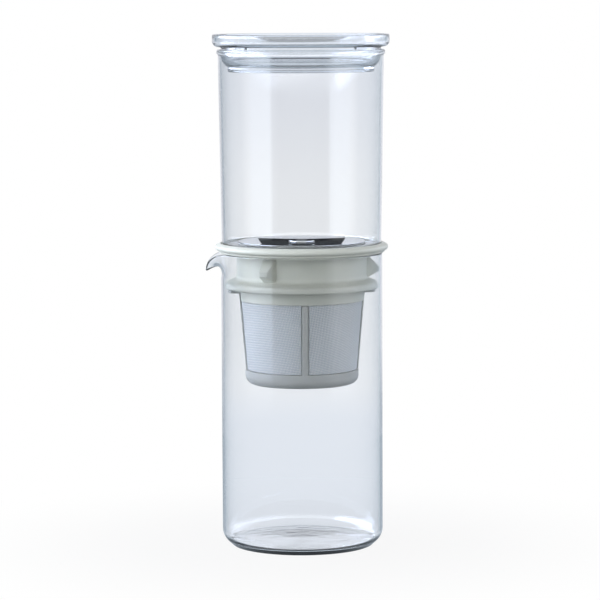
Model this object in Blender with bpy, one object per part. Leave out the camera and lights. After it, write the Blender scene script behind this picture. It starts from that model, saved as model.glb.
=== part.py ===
"""Slow-drip cold brew coffee maker, in metres, +Z up, standing on its foot at the origin.

From the bottom up: a glass server with a pouring spout, a plastic collar that hangs in its mouth, a mesh
strainer plugged into the collar, an open water glass that stands on the collar, a steel drip plate with its
nozzle in the floor of that glass, and a clear dish-shaped lid. Every piece is round about the Z axis, so the
axis is also the line along which each of them lifts off. The spout points along -X, and angles round the
axis are counted in degrees from the front (-Y) towards +X.
"""

import math

import bmesh
import bpy

# Clearances that several pieces share
FIT_GAP = 0.0003
WELD_DISTANCE = 0.000001
CUTTER_OVERRUN = 0.002
UNION_BITE = 0.0008

# Facets
ROUND_STEPS = 44
SMALL_ROUND_STEPS = 24
CORNER_STEPS = 4
SMOOTH_ANGLE = 32

# Server: the jug at the bottom
SERVER_RADIUS = 0.0475
SERVER_HEIGHT = 0.1734
GLASS_WALL = 0.0014
SERVER_FLOOR = 0.003
SERVER_HEEL = 0.0095
SERVER_CORNER = 0.0054

# Spout: the rim drawn outwards and down. The curve shares place the two middle control points of its centre
# line, and its tip, as shares of the reach and of the depth.
SPOUT_REACH = 0.0091
SPOUT_DEPTH = 0.0142
SPOUT_HALF_ANGLE = 25
SPOUT_CURVE_SHARES = ((-0.17, 0.60), (0.28, 0.62), (1.0, 0.345))
SPOUT_ROWS = 6
SPOUT_STEPS = 14
REST_STEPS = 38

# Collar: the moulding in the server's mouth
FLANGE_OVERHANG = 0.0035
FLANGE_EDGE = 0.00175
FLANGE_STEP = 0.0014
STEP_OVERHANG = 0.0014
STEP_ROUND = 0.0006
DECK_HEIGHT = 0.0033
LIP_HEIGHT = 0.0022
LIP_CLEARANCE = 0.0004
LIP_CROWN = 0.0006
POUR_GAP = 0.0077
COLLAR_WALL = 0.002
NECK_FILLET = 0.002
NECK_LENGTH = 0.0151
BORE_CHAMFER = 0.0006
FLARE_ANGLE = 20
FLARE_FILLET = 0.003
FLARE_ROUND = 0.0026
FLARE_EDGE = 0.001
FLARE_DROP = 0.00606
FLARE_CLEARANCE = 0.001
SKIRT_STEP = 0.0014
SKIRT_WALL = 0.001
SKIRT_DEPTH = 0.0071

# Centring fins on the collar's neck
FIN_ANGLES = (-29, 91, -149)
FIN_ROOT_TOP = 0.0017
FIN_ROOT_HEIGHT = 0.0136
FIN_TIP_DROP = 0.007
FIN_TIP_HEIGHT = 0.0026
FIN_ROOT_WIDTH = 0.0080
FIN_TIP_WIDTH = 0.0056
FIN_CHAMFER = 0.0012

# Strainer frame
FRAME_ANGLE = 3
RIB_COUNT = 4
RIB_WIDTH = 0.0039
RIB_DEPTH = 0.002
RIB_INSET = 0.00025
RING_WALL = 0.0016
RING_HEIGHT = 0.0063
EAR_REACH = 0.0063
EAR_WIDTH = 0.0156
EAR_THICKNESS = 0.002
EAR_CORNER = 0.004
NOTCH_LAND = 0.0003
NOTCH_CLEARANCE = 0.0005
STRAINER_LENGTH = 0.0561
STRAINER_TAPER = 0.00335
BASE_HEIGHT = 0.0085
BASE_WALL = 0.002
BASE_CORNER = 0.005
BASE_INNER_CORNER = 0.0015
BASE_LEDGE = 0.0036
SPOKE_WIDTH = 0.003
SPOKE_INSET = 0.0002

# Woven mesh, as a plain sheet
MESH_THICKNESS = 0.0006
MESH_SETBACK = 0.0012
MESH_STEPS = 11

# Upper glass
UPPER_INSET = 0.0006
UPPER_HEIGHT = 0.1154
UPPER_FLARE = 0.0017
UPPER_CORNER = 0.003
BEAD_RADIUS = 0.00105
BEAD_PROUD = 0.0008

# Gasket round the hole in the upper glass's floor
GASKET_BORE_CLEARANCE = 0.0005
GASKET_LOWER_LIP = 0.0014
GASKET_LOWER_THICKNESS = 0.0008
GASKET_WEB = 0.0009
GASKET_UPPER_LIP = 0.0031
GASKET_UPPER_THICKNESS = 0.0005
GASKET_CHAMFER = 0.0002

# Drip plate
PLATE_THICKNESS = 0.0005
PLATE_INSET = 0.0003
PLATE_EDGE = 0.00015
PLATE_SHOULDER = 0.0006
PLATE_DISH = 0.0015
PLATE_PLUG_WALL = 0.0006
PLATE_PLUG_DEPTH = 0.0034
PLATE_HUB_RIM = 0.0005

# Nozzle, its seal and its nut
NOZZLE_HEAD_RADIUS = 0.0075
NOZZLE_HEAD_HEIGHT = 0.0015
NOZZLE_CHAMFER = 0.0005
NOZZLE_CUP_RADIUS = 0.003
NOZZLE_CUP_DEPTH = 0.0005
NOZZLE_STEM_RADIUS = 0.0029
NOZZLE_BORE_RADIUS = 0.0006
NOZZLE_TIP_RADIUS = 0.0015
NOZZLE_TIP_LENGTH = 0.003
NOZZLE_OVERHANG = 0.005
SEAL_WIDTH = 0.0036
SEAL_THICKNESS = 0.001
NUT_WIDTH = 0.011
NUT_HEIGHT = 0.003

# Lid
NUB_HEIGHT = 0.0011
NUB_LENGTH = 0.009
NUB_ANGLES = (-135, -45, 45, 135)
LID_OVERHANG = 0.0026
LID_RIM_WALL = 0.0024
LID_RIM_CORNER = 0.0034
LID_RIM_ROUND = 0.001
LID_RIM_HEIGHT = 0.0074
LID_FLANGE = 0.002
LID_WALL = 0.002
LID_FLOOR = 0.0024
LID_PLUG_CLEARANCE = 0.0004
LID_PLUG_DEPTH = 0.0127
LID_PLUG_CORNER = 0.0077
LID_PLUG_FILLET = 0.0012
FOOT_SETBACK = 0.0038
FOOT_WALL = 0.0016
FOOT_HEIGHT = 0.0018
FOOT_ROUND = 0.0006

# Radii that follow from the sizes above
SERVER_INNER = SERVER_RADIUS - GLASS_WALL
NECK_RADIUS = SERVER_INNER - POUR_GAP
BORE_RADIUS = NECK_RADIUS - COLLAR_WALL
SKIRT_RADIUS = NECK_RADIUS - SKIRT_STEP
SKIRT_INNER = SKIRT_RADIUS - SKIRT_WALL
RING_RADIUS = SKIRT_INNER - FIT_GAP
RIB_TOP_RADIUS = SKIRT_RADIUS - RIB_INSET
BASE_RADIUS = RIB_TOP_RADIUS - STRAINER_TAPER
UPPER_RADIUS = SERVER_RADIUS - UPPER_INSET
UPPER_TOP_RADIUS = UPPER_RADIUS + UPPER_FLARE
LIP_INNER = UPPER_RADIUS + LIP_CLEARANCE
HOLE_RADIUS = BORE_RADIUS - GASKET_BORE_CLEARANCE - GASKET_LOWER_LIP
GASKET_INNER = HOLE_RADIUS - FIT_GAP - GASKET_WEB
GASKET_LIP_RADIUS = HOLE_RADIUS + GASKET_UPPER_LIP
PLATE_RADIUS = GASKET_LIP_RADIUS - PLATE_INSET
PLUG_RADIUS = GASKET_INNER - FIT_GAP
STEM_HOLE = NOZZLE_STEM_RADIUS + FIT_GAP
RIM_RADIUS = UPPER_TOP_RADIUS + BEAD_PROUD
LID_RADIUS = RIM_RADIUS + LID_OVERHANG
LID_PLUG_RADIUS = UPPER_TOP_RADIUS - GLASS_WALL - LID_PLUG_CLEARANCE

# Heights inside the collar, measured from its seat on the server's rim
FLARE_CENTRE = (
    -NECK_LENGTH
    - math.tan(math.radians(FLARE_ANGLE)) * (SERVER_INNER - FLARE_CLEARANCE - FLARE_ROUND - NECK_RADIUS)
    - FLARE_ROUND / math.cos(math.radians(FLARE_ANGLE))
)
FLARE_UNDERSIDE = -NECK_LENGTH - FLARE_DROP
SKIRT_BOTTOM = FLARE_UNDERSIDE - SKIRT_DEPTH
NOTCH_TOP = FLARE_UNDERSIDE - NOTCH_LAND

# Heights inside the strainer, measured from the top of its ears
RIB_TOP = SKIRT_BOTTOM - FIT_GAP - (NOTCH_TOP - FIT_GAP)
BASE_TOP = BASE_HEIGHT - STRAINER_LENGTH
BASE_FLOOR = BASE_WALL - STRAINER_LENGTH

# Heights of the drip unit, measured from the underside of the plate's rim
HUB_TOP = PLATE_THICKNESS - PLATE_DISH
HUB_BOTTOM = -PLATE_DISH
SEAL_TOP = HUB_BOTTOM - FIT_GAP
NUT_TOP = SEAL_TOP - SEAL_THICKNESS - FIT_GAP
NOZZLE_BOTTOM = NUT_TOP - NUT_HEIGHT - NOZZLE_OVERHANG

# Where each group is seated, from the table up
COLLAR_SEAT = SERVER_HEIGHT + FIT_GAP
STRAINER_SEAT = COLLAR_SEAT + NOTCH_TOP - FIT_GAP
UPPER_SEAT = COLLAR_SEAT + DECK_HEIGHT + FIT_GAP
PLATE_SEAT = UPPER_SEAT + GLASS_WALL + FIT_GAP + GASKET_UPPER_THICKNESS + FIT_GAP
LID_SEAT = UPPER_SEAT + UPPER_HEIGHT + FIT_GAP

# Colours in linear light
CLEAR_GLASS = (0.90, 0.93, 0.96)
CLEAR_ACRYLIC = (0.86, 0.92, 0.98)
WARM_GREY = (0.73, 0.72, 0.67)
MESH_WHITE = (0.70, 0.76, 0.84)
MILKY_SILICONE = (0.80, 0.80, 0.78)
STEEL = (0.62, 0.62, 0.61)


def clear_scene():
    """Removes every object that the scene starts with."""
    for thing in list(bpy.data.objects):
        bpy.data.objects.remove(thing, do_unlink=True)


def finish(name, colour, roughness, metallic=0.0, transmission=0.0):
    """A plain Principled material."""
    material = bpy.data.materials.new(name)
    material.use_nodes = True
    shader = material.node_tree.nodes["Principled BSDF"]
    shader.inputs["Base Color"].default_value = (*colour, 1.0)
    shader.inputs["Roughness"].default_value = roughness
    shader.inputs["Metallic"].default_value = metallic
    shader.inputs["Transmission Weight"].default_value = transmission
    return material


def place(name, bm, material=None, parent=None):
    """Turns a bmesh into a named object, smooth but for its sharp edges, seated on its parent empty."""
    bmesh.ops.remove_doubles(bm, verts=bm.verts, dist=WELD_DISTANCE)
    bmesh.ops.recalc_face_normals(bm, faces=bm.faces)
    mesh = bpy.data.meshes.new(name)
    bm.to_mesh(mesh)
    bm.free()
    mesh.shade_smooth()
    mesh.set_sharp_from_angle(angle=math.radians(SMOOTH_ANGLE))
    thing = bpy.data.objects.new(name, mesh)
    bpy.context.scene.collection.objects.link(thing)
    thing.parent = parent
    if material:
        mesh.materials.append(material)
    else:
        thing.hide_render = True
        thing.display_type = "WIRE"
    return thing


def seat(name, height, parent=None):
    """An empty on the axis at the height where a lift-off group is seated."""
    empty = bpy.data.objects.new(name, None)
    bpy.context.scene.collection.objects.link(empty)
    empty.empty_display_size = SERVER_RADIUS
    empty.parent = parent
    empty.location.z = height - (parent.matrix_world.translation.z if parent else 0)
    bpy.context.view_layer.update()
    return empty


def boolean(thing, tool, operation):
    """Adds a live Boolean of a hidden tool object."""
    modifier = thing.modifiers.new(tool.name, "BOOLEAN")
    modifier.operation = operation
    modifier.solver = "EXACT"
    modifier.object = tool


def arc(radius_at, height_at, size, start, end, steps=CORNER_STEPS):
    """Points (radius, height) of a round corner of an outline, from one angle to another in degrees."""
    turns = [math.radians(start + (end - start) * i / steps) for i in range(steps + 1)]
    return [(radius_at + size * math.cos(turn), height_at + size * math.sin(turn)) for turn in turns]


def direction(angle):
    """Unit vector in the plane at an angle in degrees from the front (-Y) towards +X."""
    return math.sin(math.radians(angle)), -math.cos(math.radians(angle))


def sweep(bm, outline, closed, start=0.0, span=360.0, steps=ROUND_STEPS):
    """Spins an outline of (radius, height) points about Z, from one angle from +X over a span in degrees."""
    turn = math.radians(start)
    points = [
        bm.verts.new((radius * math.cos(turn), radius * math.sin(turn), height))
        for radius, height in outline
    ]
    pairs = list(zip(points, points[1:]))
    if closed:
        pairs.append((points[-1], points[0]))
    edges = [bm.edges.new(pair) for pair in pairs]
    bmesh.ops.spin(
        bm,
        geom=points + edges,
        cent=(0, 0, 0),
        axis=(0, 0, 1),
        angle=math.radians(span),
        steps=steps,
        use_merge=span == 360.0,
    )


def turned(outline, closed=True, steps=ROUND_STEPS):
    """A bmesh of one outline turned all the way round. A closed outline gives a ring, an open one runs from
    the axis to the axis."""
    bm = bmesh.new()
    sweep(bm, outline, closed, steps=steps)
    return bm


def radial_prism(bm, outline, angle):
    """Adds an upright slab that stands out from the axis at an angle. Its outline is (radius, height, width)
    points, so the slab may be narrower at some of them."""
    out = direction(angle)
    side = (-out[1], out[0])
    rings = []
    for sign in (-1, 1):
        ring = [
            bm.verts.new(
                (
                    out[0] * radius + side[0] * sign * width / 2,
                    out[1] * radius + side[1] * sign * width / 2,
                    height,
                )
            )
            for radius, height, width in outline
        ]
        rings.append(ring)
    bm.faces.new(rings[0])
    bm.faces.new(rings[1])
    count = len(outline)
    for i in range(count):
        after = (i + 1) % count
        bm.faces.new((rings[0][i], rings[0][after], rings[1][after], rings[1][i]))


def level_plate(bm, outline, low, high, angle):
    """Adds a flat plate. Its outline is (outward, sideways) points in the frame of the given angle."""
    out = direction(angle)
    side = (-out[1], out[0])
    face = bm.faces.new(
        [
            bm.verts.new((out[0] * u + side[0] * v, out[1] * u + side[1] * v, low))
            for u, v in outline
        ]
    )
    raised = bmesh.ops.extrude_face_region(bm, geom=[face])
    tops = [item for item in raised["geom"] if isinstance(item, bmesh.types.BMVert)]
    bmesh.ops.translate(bm, verts=tops, vec=(0, 0, high - low))


def bezier(share):
    """Point of the spout's centre line, as (outwards, upwards) from the foot of the spout."""
    after = 1 - share
    weights = (3 * share * after * after, 3 * share * share * after, share**3)
    outwards = sum(w * point[0] for w, point in zip(weights, SPOUT_CURVE_SHARES))
    upwards = sum(w * point[1] for w, point in zip(weights, SPOUT_CURVE_SHARES))
    return outwards * SPOUT_REACH, upwards * SPOUT_DEPTH


def spout_centre(share, pull, fall):
    """Middle of the glass at a share of the spout's depth, as (radius, height above the spout's foot)."""
    outwards, upwards = bezier(share)
    straight = share * SPOUT_DEPTH
    return SERVER_RADIUS - GLASS_WALL / 2 + pull * outwards, straight + fall * (upwards - straight)


def draw_spout(bm, foot):
    """Bends the upper wall into the spout. The pull fades as a cosine bell away from -X, and the fall
    follows a quarter circle, so that the lips stay high until close to the tip."""
    half = math.radians(SPOUT_HALF_ANGLE)
    for vertex in bm.verts:
        turn = math.atan2(vertex.co.y, -vertex.co.x)
        rise = vertex.co.z - foot
        if abs(turn) >= half or rise <= 0:
            continue
        pull = 0.5 + 0.5 * math.cos(math.pi * turn / half)
        fall = 1 - math.sqrt(1 - pull * pull)
        share = min(rise / SPOUT_DEPTH, 1)
        beyond = max(rise - SPOUT_DEPTH, 0)
        offset = math.hypot(vertex.co.x, vertex.co.y) - (SERVER_RADIUS - GLASS_WALL / 2)
        radius, height = spout_centre(share, pull, fall)
        before = spout_centre(max(share - 0.01, 0), pull, fall)
        after = spout_centre(min(share + 0.01, 1), pull, fall)
        along = (after[0] - before[0], after[1] - before[1])
        length = math.hypot(*along)
        along = (along[0] / length, along[1] / length)
        radius += offset * along[1] + beyond * along[0]
        height += beyond * along[1] - offset * along[0]
        vertex.co.x = -radius * math.cos(turn)
        vertex.co.y = radius * math.sin(turn)
        vertex.co.z = foot + height


def make_server(material):
    """Glass jug with a thick floor, a round heel, a fire-polished rim and the spout."""
    bead = GLASS_WALL / 2
    shoulder = SERVER_HEIGHT - bead
    foot = shoulder - SPOUT_DEPTH
    rows = [foot + SPOUT_DEPTH * i / SPOUT_ROWS for i in range(SPOUT_ROWS)]
    outline = [(0, 0)]
    outline += arc(SERVER_RADIUS - SERVER_HEEL, SERVER_HEEL, SERVER_HEEL, -90, 0, CORNER_STEPS + 1)
    outline += [(SERVER_RADIUS, height) for height in rows]
    outline += arc(SERVER_RADIUS - bead, shoulder, bead, 0, 180)
    outline += [(SERVER_INNER, height) for height in reversed(rows)]
    outline += arc(
        SERVER_INNER - SERVER_CORNER, SERVER_FLOOR + SERVER_CORNER, SERVER_CORNER, 0, -90
    )
    outline += [(0, SERVER_FLOOR)]
    bm = bmesh.new()
    fine = 2 * SPOUT_HALF_ANGLE
    sweep(bm, outline, False, 180 - SPOUT_HALF_ANGLE, fine, SPOUT_STEPS)
    sweep(bm, outline, False, 180 + SPOUT_HALF_ANGLE, 360 - fine, REST_STEPS)
    draw_spout(bm, foot)
    place("server", bm, material)


def make_collar(material, parent):
    """The moulding that hangs in the server's mouth, with its fins joined on and its side notches cut."""
    flange = SERVER_RADIUS + FLANGE_OVERHANG
    step = SERVER_RADIUS + STEP_OVERHANG
    tip = SERVER_INNER - FLARE_CLEARANCE
    lean = 90 - FLARE_ANGLE
    fillet_start = FLARE_FILLET * math.tan(math.radians(lean / 2)) - NECK_LENGTH
    lip_top = DECK_HEIGHT + LIP_HEIGHT
    outline = arc(
        SKIRT_INNER + SKIRT_WALL / 2, SKIRT_BOTTOM + SKIRT_WALL / 2, SKIRT_WALL / 2, 180, 360, 2
    )
    outline += [(SKIRT_RADIUS, FLARE_UNDERSIDE)]
    outline += arc(tip - FLARE_EDGE, FLARE_UNDERSIDE + FLARE_EDGE, FLARE_EDGE, -90, 0, 2)
    outline += arc(tip - FLARE_ROUND, FLARE_CENTRE, FLARE_ROUND, 0, lean, 3)
    outline += arc(NECK_RADIUS + FLARE_FILLET, fillet_start, FLARE_FILLET, 180 + lean, 180, 3)
    outline += arc(NECK_RADIUS + NECK_FILLET, -NECK_FILLET, NECK_FILLET, 180, 90, 2)
    outline += [(step - STEP_ROUND, 0), (step, STEP_ROUND), (step, FLANGE_STEP)]
    outline += arc(flange - FLANGE_EDGE, FLANGE_STEP + FLANGE_EDGE, FLANGE_EDGE, -90, 75, CORNER_STEPS + 1)
    outline += [
        (LIP_INNER + LIP_CROWN, lip_top),
        (LIP_INNER + LIP_CROWN / 3, lip_top - LIP_CROWN / 6),
        (LIP_INNER, lip_top - LIP_CROWN),
        (LIP_INNER, DECK_HEIGHT),
        (BORE_RADIUS + BORE_CHAMFER, DECK_HEIGHT),
        (BORE_RADIUS, DECK_HEIGHT - BORE_CHAMFER),
        (BORE_RADIUS, FLARE_UNDERSIDE + COLLAR_WALL / 2),
        (SKIRT_INNER, FLARE_UNDERSIDE - COLLAR_WALL / 2),
    ]
    collar = place("collar", turned(outline), material, parent)
    boolean(collar, make_fins(parent), "UNION")
    boolean(collar, make_notches(parent), "DIFFERENCE")


def make_fins(parent):
    """Three centring fins: slabs with a triangular side view that narrow towards a chamfered tip."""
    root = NECK_RADIUS - UNION_BITE
    tip = SERVER_INNER - FIT_GAP
    top = -FIN_ROOT_TOP
    bottom = top - FIN_ROOT_HEIGHT
    tip_top = top - FIN_TIP_DROP
    tip_bottom = tip_top - FIN_TIP_HEIGHT
    outline = (
        (root, top, FIN_ROOT_WIDTH),
        (NECK_RADIUS + FIN_CHAMFER, top - FIN_CHAMFER, FIN_ROOT_WIDTH),
        (tip - FIN_CHAMFER, tip_top + FIN_CHAMFER, FIN_TIP_WIDTH),
        (tip, tip_top, FIN_TIP_WIDTH - 2 * FIN_CHAMFER),
        (tip, tip_bottom, FIN_TIP_WIDTH - 2 * FIN_CHAMFER),
        (tip - FIN_CHAMFER, tip_bottom - FIN_CHAMFER / 2, FIN_TIP_WIDTH),
        (NECK_RADIUS + FIN_CHAMFER, bottom + FIN_CHAMFER / 2, FIN_ROOT_WIDTH),
        (root, bottom, FIN_ROOT_WIDTH),
    )
    bm = bmesh.new()
    for angle in FIN_ANGLES:
        radial_prism(bm, outline, angle)
    bmesh.ops.triangulate(bm, faces=bm.faces)
    return place("fin_tool", bm, parent=parent)


def make_notches(parent):
    """Two openings in the skirt, wide enough for the strainer's ears."""
    half = EAR_WIDTH / 2 + NOTCH_CLEARANCE
    low = SKIRT_BOTTOM - CUTTER_OVERRUN
    inside = SKIRT_INNER - CUTTER_OVERRUN
    inside -= SKIRT_INNER - math.sqrt(SKIRT_INNER**2 - half**2)
    outside = SKIRT_RADIUS + CUTTER_OVERRUN
    plan = ((inside, -half), (outside, -half), (outside, half), (inside, half))
    bm = bmesh.new()
    for turn in (90, 270):
        level_plate(bm, plan, low, NOTCH_TOP, FRAME_ANGLE + turn)
    return place("notch_tool", bm, parent=parent)


def rib_radius(height):
    """Outer radius of the tapering ribs at a height in the strainer."""
    return RIB_TOP_RADIUS + STRAINER_TAPER * (height - RIB_TOP) / (RIB_TOP - BASE_TOP)


def make_ribs(parent):
    """Four ribs. The front and back ones stop under the skirt and reach the ring by a tongue inside it. The
    side ones run on through the notches up to the ears."""
    tongue_outer = RING_RADIUS - FIT_GAP
    tongue_inner = RIB_TOP_RADIUS - RIB_DEPTH
    tongue_top = UNION_BITE - RING_HEIGHT
    low = BASE_TOP - UNION_BITE
    bm = bmesh.new()
    for i in range(RIB_COUNT):
        outline = [
            (rib_radius(low), low, RIB_WIDTH),
            (rib_radius(low) - RIB_DEPTH + FIT_GAP, low, RIB_WIDTH),
            (tongue_inner, -RING_HEIGHT, RIB_WIDTH),
        ]
        if i % 2:
            top = UNION_BITE - EAR_THICKNESS
            outline += [(tongue_inner, top, RIB_WIDTH), (rib_radius(top), top, RIB_WIDTH)]
        else:
            outline += [
                (tongue_inner, tongue_top, RIB_WIDTH),
                (tongue_outer, tongue_top, RIB_WIDTH),
                (tongue_outer, RIB_TOP, RIB_WIDTH),
                (RIB_TOP_RADIUS, RIB_TOP, RIB_WIDTH),
            ]
        radial_prism(bm, outline, FRAME_ANGLE + 360 * i / RIB_COUNT)
    return place("rib_tool", bm, parent=parent)


def make_ears(parent):
    """Two thin finger ears with round outer corners, over the side ribs."""
    half = EAR_WIDTH / 2
    reach = SKIRT_RADIUS + EAR_REACH
    root = math.sqrt((RING_RADIUS - RING_WALL / 2) ** 2 - half**2)
    corners = arc(reach - EAR_CORNER, half - EAR_CORNER, EAR_CORNER, 90, 0)
    plan = [(root, half)] + corners + [(u, -v) for u, v in reversed(corners)] + [(root, -half)]
    bm = bmesh.new()
    for turn in (90, 270):
        level_plate(bm, plan, -EAR_THICKNESS, -SPOKE_INSET, FRAME_ANGLE + turn)
    return place("ear_tool", bm, parent=parent)


def make_spokes(parent):
    """A flat cross that closes the base ring and carries the floor mesh."""
    half = SPOKE_WIDTH / 2
    reach = BASE_RADIUS - BASE_CORNER
    arm = ((half, half), (half, reach), (-half, reach))
    plan = []
    for i in range(4):
        turn = math.radians(90 * i)
        plan += [
            (u * math.cos(turn) - v * math.sin(turn), u * math.sin(turn) + v * math.cos(turn))
            for u, v in arm
        ]
    bm = bmesh.new()
    level_plate(bm, plan, SPOKE_INSET - STRAINER_LENGTH, BASE_FLOOR - SPOKE_INSET, FRAME_ANGLE)
    return place("spoke_tool", bm, parent=parent)


def make_strainer_frame(material, parent):
    """The strainer's moulding: the plug ring and the base cup, joined by the ribs."""
    inner = RING_RADIUS - RING_WALL
    ring = [
        (inner, -RING_HEIGHT),
        (RING_RADIUS, -RING_HEIGHT),
        (RING_RADIUS, -FIT_GAP),
        (RING_RADIUS - FIT_GAP, 0),
        (inner, 0),
    ]
    heel = BASE_RADIUS - BASE_CORNER
    wall_inner = BASE_RADIUS - BASE_WALL
    base = [(BASE_RADIUS - BASE_WALL - BASE_LEDGE, -STRAINER_LENGTH)]
    base += arc(heel, BASE_CORNER - STRAINER_LENGTH, BASE_CORNER, -90, 0)
    base += [(BASE_RADIUS, BASE_TOP), (wall_inner, BASE_TOP)]
    base += arc(
        wall_inner - BASE_INNER_CORNER, BASE_FLOOR + BASE_INNER_CORNER, BASE_INNER_CORNER, 0, -90, 2
    )
    base += [(BASE_RADIUS - BASE_WALL - BASE_LEDGE, BASE_FLOOR)]
    bm = turned(ring)
    sweep(bm, base, True)
    frame = place("strainer_frame", bm, material, parent)
    boolean(frame, make_ribs(parent), "UNION")
    boolean(frame, make_ears(parent), "UNION")
    boolean(frame, make_spokes(parent), "UNION")


def make_side_mesh(material, parent):
    """Four conical panels, one in each window between two ribs, set back behind the ribs' outer faces."""
    top = -RING_HEIGHT - FIT_GAP
    bottom = BASE_TOP + FIT_GAP
    margin = RIB_WIDTH / 2 + FIT_GAP
    window = 360 / RIB_COUNT
    for panel in range(RIB_COUNT):
        bm = bmesh.new()
        loops = []
        for height, depth in ((bottom, MESH_THICKNESS), (bottom, 0), (top, 0), (top, MESH_THICKNESS)):
            radius = rib_radius(height) - MESH_SETBACK - depth
            edge = math.degrees(math.asin(margin / radius))
            start = FRAME_ANGLE + window * panel + edge
            step = (window - 2 * edge) / MESH_STEPS
            loop = []
            for i in range(MESH_STEPS + 1):
                out = direction(start + step * i)
                loop.append(bm.verts.new((out[0] * radius, out[1] * radius, height)))
            loops.append(loop)
        for i in range(4):
            here = loops[i]
            after = loops[(i + 1) % 4]
            for j in range(MESH_STEPS):
                bm.faces.new((here[j], here[j + 1], after[j + 1], after[j]))
        bm.faces.new([loop[0] for loop in loops])
        bm.faces.new([loop[-1] for loop in loops])
        place(f"strainer_side_mesh_{panel + 1}", bm, material, parent)


def make_floor_mesh(material, parent):
    """A mesh disc that lies on the base ring's ledge and on the spokes."""
    radius = BASE_RADIUS - BASE_WALL - BASE_INNER_CORNER - FIT_GAP
    low = BASE_FLOOR + FIT_GAP
    high = low + MESH_THICKNESS
    outline = [(0, low), (radius, low), (radius, high), (0, high)]
    place("strainer_floor_mesh", turned(outline, closed=False), material, parent)


def make_upper_glass(material, parent):
    """Open glass that widens slightly to a beaded rim, with a round hole in its floor."""
    inner_corner = UPPER_CORNER - GLASS_WALL
    bead_at = RIM_RADIUS - BEAD_RADIUS
    bead_height = UPPER_HEIGHT - BEAD_RADIUS
    outline = [(HOLE_RADIUS, 0)]
    outline += arc(UPPER_RADIUS - UPPER_CORNER, UPPER_CORNER, UPPER_CORNER, -90, 0, 3)
    outline += [(UPPER_TOP_RADIUS, bead_height - 2 * BEAD_RADIUS)]
    outline += arc(bead_at, bead_height, BEAD_RADIUS, -50, 180, 5)
    outline += [(UPPER_TOP_RADIUS - GLASS_WALL, bead_height - 2 * BEAD_RADIUS)]
    outline += arc(UPPER_RADIUS - UPPER_CORNER, UPPER_CORNER, inner_corner, 0, -90, 3)
    outline += [(HOLE_RADIUS, GLASS_WALL)]
    place("upper_glass", turned(outline), material, parent)


def make_gasket(material, parent):
    """Silicone ring with a U section that grips the edge of the floor's hole."""
    lower = BORE_RADIUS - GASKET_BORE_CLEARANCE
    web = HOLE_RADIUS - FIT_GAP
    lower_bottom = -FIT_GAP - GASKET_LOWER_THICKNESS
    upper_bottom = GLASS_WALL + FIT_GAP
    upper_top = upper_bottom + GASKET_UPPER_THICKNESS
    outline = [
        (GASKET_INNER, lower_bottom),
        (lower - GASKET_CHAMFER, lower_bottom),
        (lower, lower_bottom + GASKET_CHAMFER),
        (lower, -FIT_GAP),
        (web, -FIT_GAP),
        (web, upper_bottom),
        (GASKET_LIP_RADIUS, upper_bottom),
        (GASKET_LIP_RADIUS, upper_top - GASKET_CHAMFER),
        (GASKET_LIP_RADIUS - GASKET_CHAMFER, upper_top),
        (GASKET_INNER, upper_top),
    ]
    place("plate_gasket", turned(outline), material, parent)


def make_drip_plate(material, parent):
    """Pressed steel plate: a flat rim, a shallow cone down to the nozzle, and a plug collar underneath."""
    shoulder = PLUG_RADIUS + PLATE_SHOULDER
    hub = NOZZLE_HEAD_RADIUS + PLATE_HUB_RIM
    slope = PLATE_DISH / (shoulder - hub)
    plug_inner = PLUG_RADIUS - PLATE_PLUG_WALL
    outline = [
        (PLATE_RADIUS - PLATE_EDGE, 0),
        (PLATE_RADIUS, PLATE_EDGE),
        (PLATE_RADIUS - PLATE_EDGE, PLATE_THICKNESS),
        (shoulder, PLATE_THICKNESS),
        (hub, HUB_TOP),
        (STEM_HOLE, HUB_TOP),
        (STEM_HOLE, HUB_BOTTOM),
        (hub, HUB_BOTTOM),
        (plug_inner, (plug_inner - shoulder) * slope),
        (plug_inner, -PLATE_PLUG_DEPTH),
        (PLUG_RADIUS, -PLATE_PLUG_DEPTH),
        (PLUG_RADIUS, 0),
    ]
    place("drip_plate", turned(outline), material, parent)


def make_nozzle(material, parent):
    """Turned nozzle: a flanged head with a small cup, a stem through the plate and a tapered drip tip."""
    under = HUB_TOP + FIT_GAP
    top = under + NOZZLE_HEAD_HEIGHT
    outline = [
        (NOZZLE_BORE_RADIUS, NOZZLE_BOTTOM),
        (NOZZLE_TIP_RADIUS, NOZZLE_BOTTOM),
        (NOZZLE_STEM_RADIUS, NOZZLE_BOTTOM + NOZZLE_TIP_LENGTH),
        (NOZZLE_STEM_RADIUS, under),
        (NOZZLE_HEAD_RADIUS, under),
        (NOZZLE_HEAD_RADIUS, top - NOZZLE_CHAMFER),
        (NOZZLE_HEAD_RADIUS - NOZZLE_CHAMFER, top),
        (NOZZLE_CUP_RADIUS, top),
        (NOZZLE_CUP_RADIUS - NOZZLE_CHAMFER, top - NOZZLE_CUP_DEPTH),
        (NOZZLE_BORE_RADIUS, top - NOZZLE_CUP_DEPTH),
    ]
    place("drip_nozzle", turned(outline, steps=SMALL_ROUND_STEPS), material, parent)


def make_seal(material, parent):
    """Silicone washer between the plate and the nut."""
    outer = STEM_HOLE + SEAL_WIDTH
    low = SEAL_TOP - SEAL_THICKNESS
    outline = [(STEM_HOLE, low), (outer, low), (outer, SEAL_TOP), (STEM_HOLE, SEAL_TOP)]
    place("nozzle_seal", turned(outline, steps=SMALL_ROUND_STEPS), material, parent)


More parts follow.
